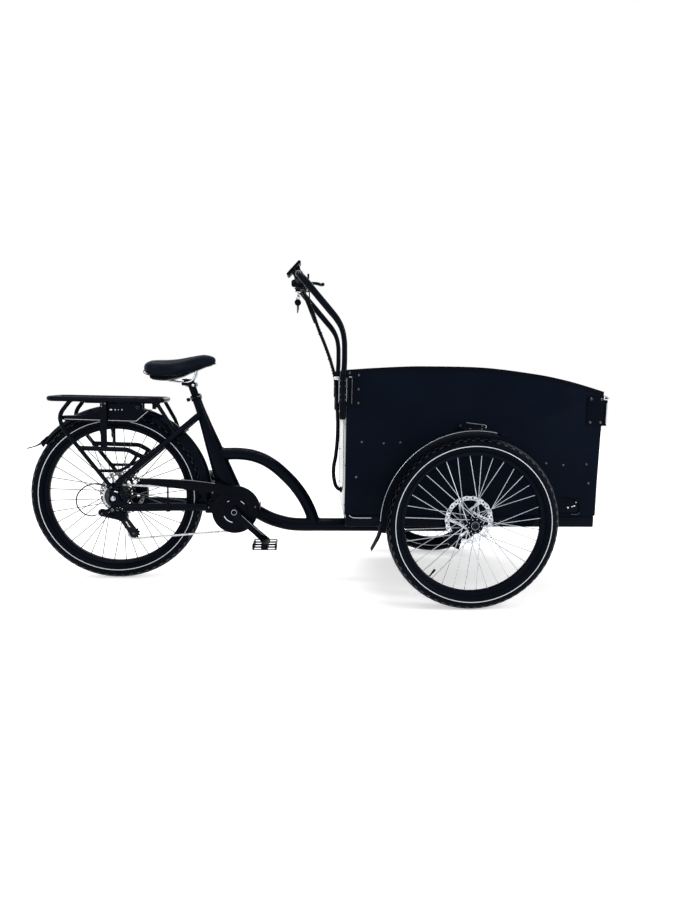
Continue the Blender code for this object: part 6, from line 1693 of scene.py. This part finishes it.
def make_grips():
  for word, side in SIDES:
    profile = mm2(125.2, 12.8, 125.2, 17, 126.2, 17.6, 130, 17.6, 131.2, 16.8)
    for k in range(17):
      y = .1345 + .0062 * k
      swell = .0004 * sin(pi * k / 16)
      profile += [(y - .0018, .0154 + swell), (y - .001, .0163 + swell), (y + .0016, .0163 + swell),
          (y + .0024, .0154 + swell)]
    profile += mm2(237, 16.6, 238.2, 17.6, 242, 17.6, 242.8, 16.8, 242.8, 12.8)
    grip = hollow(profile, (CROSSBAR[0], 0, CROSSBAR[2]), 40, along=side)
    finish("bar_grip_" + word, BOX, GRIP_RUBBER, [grip], ["grip_" + word], 40)


def lever_pivot(side):
  return Vector((.742, side * .1015, 1.172))


def make_lever_mounts():
  """Split clamp, master cylinder with its lid, fork, pin and the hose's nipple."""
  for word, side in SIDES:
    pivot = lever_pivot(side)
    middle = side * .1015
    ring = hollow(mm2(-11.3, 12.8, -11.3, 17.6, -10.4, 18.4, 10.4, 18.4, 11.3, 17.6, 11.3, 12.8),
        (CROSSBAR[0], middle, CROSSBAR[2]), 44)
    slot = block((CROSSBAR[0] - .03, CROSSBAR[0] - .011), (middle - .02, middle + .02),
        (CROSSBAR[2] - .0008, CROSSBAR[2] + .0008))
    ring = cut_out(ring, slot)
    arm = block((CROSSBAR[0] + .01, pivot.x - .0088), (middle - .0092, middle + .0092),
        (pivot.z - .0092, pivot.z + .0092), .003, 3)
    prongs = [block((pivot.x - .0118, pivot.x + .0068), (middle - .0072, middle + .0072),
        (pivot.z + s * .0067, pivot.z + s * .0103), .0015, 2) for s in (-1, 1)]
    tank = block((CROSSBAR[0] + .006, CROSSBAR[0] + .026), (middle - side * .01, middle - side * .046),
        (CROSSBAR[2] - .014, CROSSBAR[2] - .001), .0035, 3)
    lid = block((CROSSBAR[0] + .0075, CROSSBAR[0] + .0245), (middle - side * .014, middle - side * .044),
        (CROSSBAR[2] - .0015, CROSSBAR[2] + .0008), .001, 1)
    catch = block((pivot.x - .005, pivot.x + .0025), (pivot.y - .002, pivot.y + .002),
        (pivot.z + .0098, pivot.z + .035), .0015, 3)
    shapes = [ring, arm, tank, lid, catch] + prongs
    if side < 0:
      shapes.append(hollow(mm2(62.6, 12.8, 62.6, 16.8, 63.4, 17.4, 88.2, 17.4, 89, 16.6, 89, 12.8),
          (CROSSBAR[0], 0, CROSSBAR[2]), 40, along=-1))
      shapes.append(block((.6765, .7278), (-.0662, -.0883), (1.158, 1.186), .0085, 4))
    finish("lever_mount_body_" + word, BOX, SATIN, shapes, ["lever_mount_" + word], 34)
    pin = rod(pivot - Vector((0, 0, .0108)), pivot + Vector((0, 0, .0108)), .0026, .0004, 16)
    bits = [pin, socket_bolt((CROSSBAR[0] - .0165, middle, CROSSBAR[2] + .006), (-.45, 0, .9), .0032, .0026),
        rod((CROSSBAR[0] + .018, middle - side * .045, CROSSBAR[2] - .008),
        (CROSSBAR[0] + .02, middle - side * .056, CROSSBAR[2] - .011), .0034, .0006, 12)]
    finish("lever_mount_bright_parts_" + word, BOX, SILVER, bits)


def make_brake_levers():
  for word, side in SIDES:
    pivot = lever_pivot(side)
    eye = hollow(mm2(-5.8, 3.1, -5.8, 6, -5, 6.6, 5, 6.6, 5.8, 6, 5.8, 3.1), pivot, 28, along=UP)
    route = ((.006, .002, 0, .0052, .0052), (.016, .009, -.001, .0056, .0056), (.028, .021, -.003, .005, .006),
        (.037, .038, -.0065, .0042, .0064), (.044, .06, -.011, .0038, .0068), (.0475, .082, -.014, .004, .007),
        (.05, .1, -.016, .0045, .007), (.0525, .112, -.0173, .0058, .0072), (.054, .1205, -.0182, .0054, .0064),
        (.0545, .125, -.0186, .0026, .003))
    rings = []
    for k, (x, y, z, thick, tall) in enumerate(route):
      a, b = route[max(k - 1, 0)], route[min(k + 1, len(route) - 1)]
      ahead = Vector((b[0] - a[0], side * (b[1] - a[1]), b[2] - a[2])).normalized()
      out = Vector((0, 0, 1)).cross(ahead).normalized()
      up = ahead.cross(out)
      middle = pivot + Vector((x, side * y, z))
      rings.append([tuple(middle + out * (thick * cos(t)) + up * (tall * sin(t)))
          for t in (tau * i / 16 for i in range(16))])
    blade = skin(rings)
    body = "brake_lever_body_" + word
    finish("brake_lever_blade_" + word, body, SATIN, [eye, blade], ["brake_lever_" + word], 50)


def make_shift_lever():
  top = 1.1567
  pivot = Vector((.714, -.07725, top))
  disc = turned(mm2(0, 9, .6, 9.8, 5.2, 9.8, 6, 8.8), pivot, 32, along=(0, 0, -1))
  paddle = block((pivot.x - .026, pivot.x - .002), (pivot.y - .0058, pivot.y + .0058), (top - .0048, top - .0012),
      .0016, 2)
  finish("thumb_paddle", "shifter_paddle", PLASTIC, [disc, paddle], ["shift_lever"])
  window = block((.686, .702), (-.07, -.0845), (1.1855, 1.1866), .0005, 1)
  finish("gear_window", BOX, DARK_GLASS, [window])


def make_display():
  """Slim tilted screen with its bezel, button row, neck, split clamp, key switch and loom clip."""
  x, z = CROSSBAR[0], CROSSBAR[2]
  start, end = Vector((x - .0484, 0, z + .0262)), Vector((x + .001, 0, z + .0808))
  along = (end - start).normalized()
  length = (end - start).length
  turn = Matrix((along, ACROSS, along.cross(ACROSS))).transposed().to_4x4()
  place = Matrix.Translation((start + end) / 2) @ turn

  def laid(obj):
    obj.data.transform(place)
    return obj

  case = block((-length / 2, length / 2), (-.0448, .0448), (-.0058, .005), .0034, 4)
  screen = block((-length / 2 + .014, length / 2 - .004), (-.04, .04), (.0046, .0056), .0004, 1)
  keys = [block((-length / 2 + .004, -length / 2 + .01), (y - .008, y + .008), (.0048, .006), .0006, 1)
      for y in (-.024, 0, .024)]
  clamp = hollow(mm2(-11.8, 12.8, -11.8, 17.6, -10.8, 18.4, 10.8, 18.4, 11.8, 17.6, 11.8, 12.8), CROSSBAR, 44)
  neck = plate([rounded([(x - .016, z + .014), (x + .0088, z + .014), (x + .008, z + .032), (x - .002, z + .068),
      (x - .03, z + .037)], .004, 4)], (-.0098, .0098), .0012, 2)
  switch = rod((.7, 0, z - .014), (.7, 0, 1.1473), .0103, .0015, 32)
  clip = rod((.722, 0, z - .009), (.722, 0, 1.1583), .0083, .0012, 28)
  finish("display_case", BOX, PLASTIC, [laid(case), clamp, neck, switch, clip] + [laid(key) for key in keys],
      ["display"], 34)
  finish("display_screen", BOX, DARK_GLASS, [laid(screen)])
  joint = rod((x - .004, -.0112, z + .029), (x - .004, .0112, z + .029), .0052, .001, 24)
  collar = turned(mm2(1147, 8, 1146.6, 10, 1147.8, 10.6, 1150, 10.6, 1150.6, 10), (.7, 0, 0), 32, along=UP)
  finish("display_joint_and_switch_ring", BOX, SILVER, [joint, collar])


def make_key():
  x = .7
  stem = rod((x, 0, 1.1467), (x, 0, 1.1368), .0036, .0005, 12)
  head = plate([circle((x, 1.129), .0094, 36), circle((x, 1.1262), .0036, 20)], (-.0018, .0018), .0006, 1)
  finish("key_head", "key_body", BRIGHT_STEEL, [stem, head], ["key"])
  ring = pipe([(x + .0072 * cos(a), .0026 * sin(2 * a) * .4, 1.1186 + .0072 * sin(a))
      for a in (tau * k / 10 for k in range(10))], .0008, 2, 4, closed=True)
  blade = plate([[(x - .0046, 1.1005), (x + .0052, 1.1005), (x + .0044, 1.08), (x + .0024, 1.077),
      (x + .0034, 1.074), (x + .0014, 1.07), (x + .0024, 1.0675), (x, 1.066), (x - .003, 1.069)]], (-.0011, .0011),
      .0002, 1)
  shank = plate([link((x, 1.0985), (x, 1.1135), .0052, .004)], (-.0012, .0012), .0003, 1)
  finish("key_ring_and_blade", "key_body", SCREWS, [ring, blade, shank])
  fob = turned(mm2(-3.4, 9, -3, 12.2, -1.6, 13, 1.6, 13, 3, 12.2, 3.4, 9), (x, 0, 1.1085), 36)
  finish("key_fob", "key_body", PLASTIC, [fob])


LOOM_LINE = mm2(722, 1158, 724, 1143, 737, 1118, 756, 1081, 781, 1012, 809, 946, 834, 879, 851, 816, 860, 728, 866,
    606, 860, 504, 852, 451, 855, 403, 866, 372, 879, 362, 905, 362)


def make_loom():
  """Brake, motor and shift lines: fanned out under the bar, then in a spiral wrap down to the wall."""
  slim = [.96] * 8 + [1] + [1.14] * 5 + [1] * 2
  core = pipe(level_route(LOOM_LINE), .0068, 5, 8, widths=slim)
  spine = []
  line = [Vector((x, 0, z)) for x, z in LOOM_LINE[:8]]
  for a, b in zip(line, line[1:]):
    for k in range(12):
      spine.append(a.lerp(b, k / 12))
  for _ in range(6):
    spine = [spine[0]] + [(p + 2 * q + r) / 4 for p, q, r in zip(spine, spine[1:], spine[2:])] + [spine[-1]]
  gone, coil = 0, []
  for k in range(1, len(spine) - 1):
    ahead = (spine[k + 1] - spine[k - 1]).normalized()
    out = ACROSS
    up = ahead.cross(out)
    step = (spine[k + 1] - spine[k]).length
    for sub in range(4):
      at = spine[k].lerp(spine[k + 1], sub / 4)
      a = tau * (gone + step * sub / 4) / .0125
      coil.append(at + (out * cos(a) + up * sin(a)) * .0066)
    gone += step
  wrap = pipe(coil, .0012, 1, 1)
  finish("loom_core", BOX, CABLE, [core], ["cable_loom"], 60)
  finish("loom_spiral_wrap", BOX, PLASTIC, [wrap], (), 60)
  hoses = []
  for side in (-1, 1):
    start = Vector((CROSSBAR[0] + .02, side * .046, CROSSBAR[2] - .011))
    hoses.append(pipe([start, start + Vector((.012, -side * .014, -.007)), (.744, side * .012, 1.15),
        (.747, side * .003, 1.118), (.76, side * .004, 1.081), (.783, side * .0055, 1.016)], .0024, 3, 10))
  hoses.append(pipe(mm3(714, -64, 1164, 720, -50, 1156, 730, -22, 1140, 731, -6, 1118, 748, -6.2, 1081, 774, -6,
      1020), .0022, 3, 10))
  hoses.append(pipe(mm3(706, 4, 1200, 726, 10, 1190, 733, 12, 1162, 728, 7, 1130, 742, 5, 1088, 766, 5.6, 1030),
      .0018, 3, 10))
  finish("bar_hoses", BOX, CABLE, hoses, (), 60)
  clip = block((.8462, .8846), (-.0088, .0088), (.8085, .8215), .0022, 2)
  collar = hollow(mm2(879, 6.6, 879.2, 11, 880.4, 12, 884.5, 12.2, 884.8, 6.6), (0, 0, .362), 32, along=(1, 0, 0))
  gland = turned(mm2(897.2, 12, 901, 12, 902, 9.8, 907.2, 8.6, 908.2, 6), (0, 0, .362), 6, along=(1, 0, 0))
  finish("loom_clip_and_grommet", BOX, SILVER, [clip])
  finish("wall_grommet", BOX, GRIP_RUBBER, [collar, gland])
  ties = []
  for k in (30, 52, 70):
    ahead = (spine[k + 1] - spine[k - 1]).normalized()
    ties.append(hollow(mm2(-1.8, 7.6, -1.8, 9, 1.8, 9, 1.8, 7.6), spine[k], 24, along=ahead))
  finish("loom_ties", BOX, PLASTIC, ties)


def make_bars():
  make_handlebar()
  make_bar_clamps()
  make_grips()
  make_lever_mounts()
  make_brake_levers()
  make_shift_lever()
  make_display()
  make_key()
  make_loom()


# Floor, light and camera

def seen_by(tree, *rays):
  """1 for these kinds of rays and 0 for the rest."""
  light = tree.nodes.new("ShaderNodeLightPath").outputs
  share = light[rays[0]]
  for ray in rays[1:]:
    share = reckon(tree, "MAXIMUM", share, light[ray])
  return share


def make_floor():
  """A pale round floor that fades into the backdrop and keeps the shadow."""
  bpy.ops.mesh.primitive_circle_add(vertices=64, radius=9, fill_type="NGON", location=(0, 0, -.0005))
  floor = settle(made())
  floor.name = "studio_floor"
  material = bpy.data.materials.new("studio_floor_white")
  material.use_nodes = True
  tree = material.node_tree
  surface = tree.nodes["Principled BSDF"]
  put(tree, (.93, .93, .93, 1), surface.inputs["Base Color"])
  put(tree, .9, surface.inputs["Roughness"])
  reach = add_node(tree, "VectorMath", Vector=tree.nodes.new("ShaderNodeTexCoord").outputs["Object"])
  reach.operation = "LENGTH"
  blend = add_node(tree, "MixShader", Fac=ramp_between(tree, reach.outputs["Value"], 1.8, 5.5))
  put(tree, surface.outputs["BSDF"], blend.inputs[1])
  put(tree, tree.nodes.new("ShaderNodeBsdfTransparent").outputs["BSDF"], blend.inputs[2])
  glow = reckon(tree, "MULTIPLY", seen_by(tree, "Is Camera Ray", "Is Glossy Ray"), .46)
  total = tree.nodes.new("ShaderNodeAddShader")
  put(tree, blend.outputs["Shader"], total.inputs[0])
  put(tree, add_node(tree, "Emission", Color=(1, 1, 1, 1), Strength=glow).outputs["Emission"], total.inputs[1])
  put(tree, total.outputs["Shader"], tree.nodes["Material Output"].inputs["Surface"])
  floor.data.materials.append(material)


def make_backdrop():
  """White for the eye and for reflections, and a plain soft light for the bike."""
  world = bpy.data.worlds.new("studio_white")
  bpy.context.scene.world = world
  world.use_nodes = True
  tree = world.node_tree
  sky = tree.nodes["Background"].inputs
  seen = seen_by(tree, "Is Camera Ray", "Is Glossy Ray", "Is Transmission Ray")
  put(tree, ramp_between(tree, seen, 0, 1, .55, 1), sky["Strength"])
  put(tree, (1, 1, 1, 1), sky["Color"])


def soft_light(name, place, target, size, power):
  bpy.ops.object.light_add(type="AREA", location=place)
  lamp = made()
  lamp.name = name
  lamp.data.shape = "RECTANGLE"
  lamp.data.size, lamp.data.size_y = size
  lamp.data.energy = power
  lamp.rotation_euler = (Vector(target) - Vector(place)).to_track_quat("-Z", "Y").to_euler()


def set_camera():
  """The photograph's view: from the bike's right, a little above its saddle."""
  yaw, pitch, roll = .0911, .114, .0236
  forward = Vector((sin(yaw) * cos(pitch), cos(yaw) * cos(pitch), -sin(pitch)))
  right = Vector((cos(yaw), -sin(yaw), 0))
  up = right.cross(forward)
  side = right * cos(roll) + up * sin(roll)
  top = up * cos(roll) - right * sin(roll)
  bpy.ops.object.camera_add()
  camera = made()
  turn = Matrix((side, top, -forward)).transposed().to_4x4()
  turn.translation = Vector((.7662 - MIDDLE_X, -2.7065, .8379))
  camera.matrix_world = turn
  camera.data.sensor_width = 36
  camera.data.lens = 26.767
  camera.data.shift_x = -.03998
  camera.data.dof.use_dof = False
  bpy.context.scene.camera = camera
  bpy.context.scene.view_settings.view_transform = "Standard"


def set_stage():
  make_floor()
  make_backdrop()
  soft_light("overhead_panel", (-.2, -.6, 3.4), (0, 0, .4), (3.2, 2.2), 36)
  soft_light("overhead_strip", (.1, .3, 3.1), (0, 0, .5), (3.8, .05), 44)
  soft_light("front_strip", (3.2, -1.2, 1.5), (0, 0, .7), (.05, 2.2), 24)
  soft_light("camera_side_panel", (-1.8, -3.2, 2.2), (0, 0, .5), (1.8, 1.8), 26)
  soft_light("front_panel", (2.9, -1.6, 1.8), (.3, 0, .5), (1.2, 1.8), 18)
  soft_light("far_side_panel", (.4, 3.2, 2), (0, 0, .5), (2.2, 1.6), 20)
  set_camera()


bpy.ops.object.select_all(action="DESELECT")
make_wheels()
make_drive()
make_frame()
make_rear()
make_box()
make_bars()
set_stage()
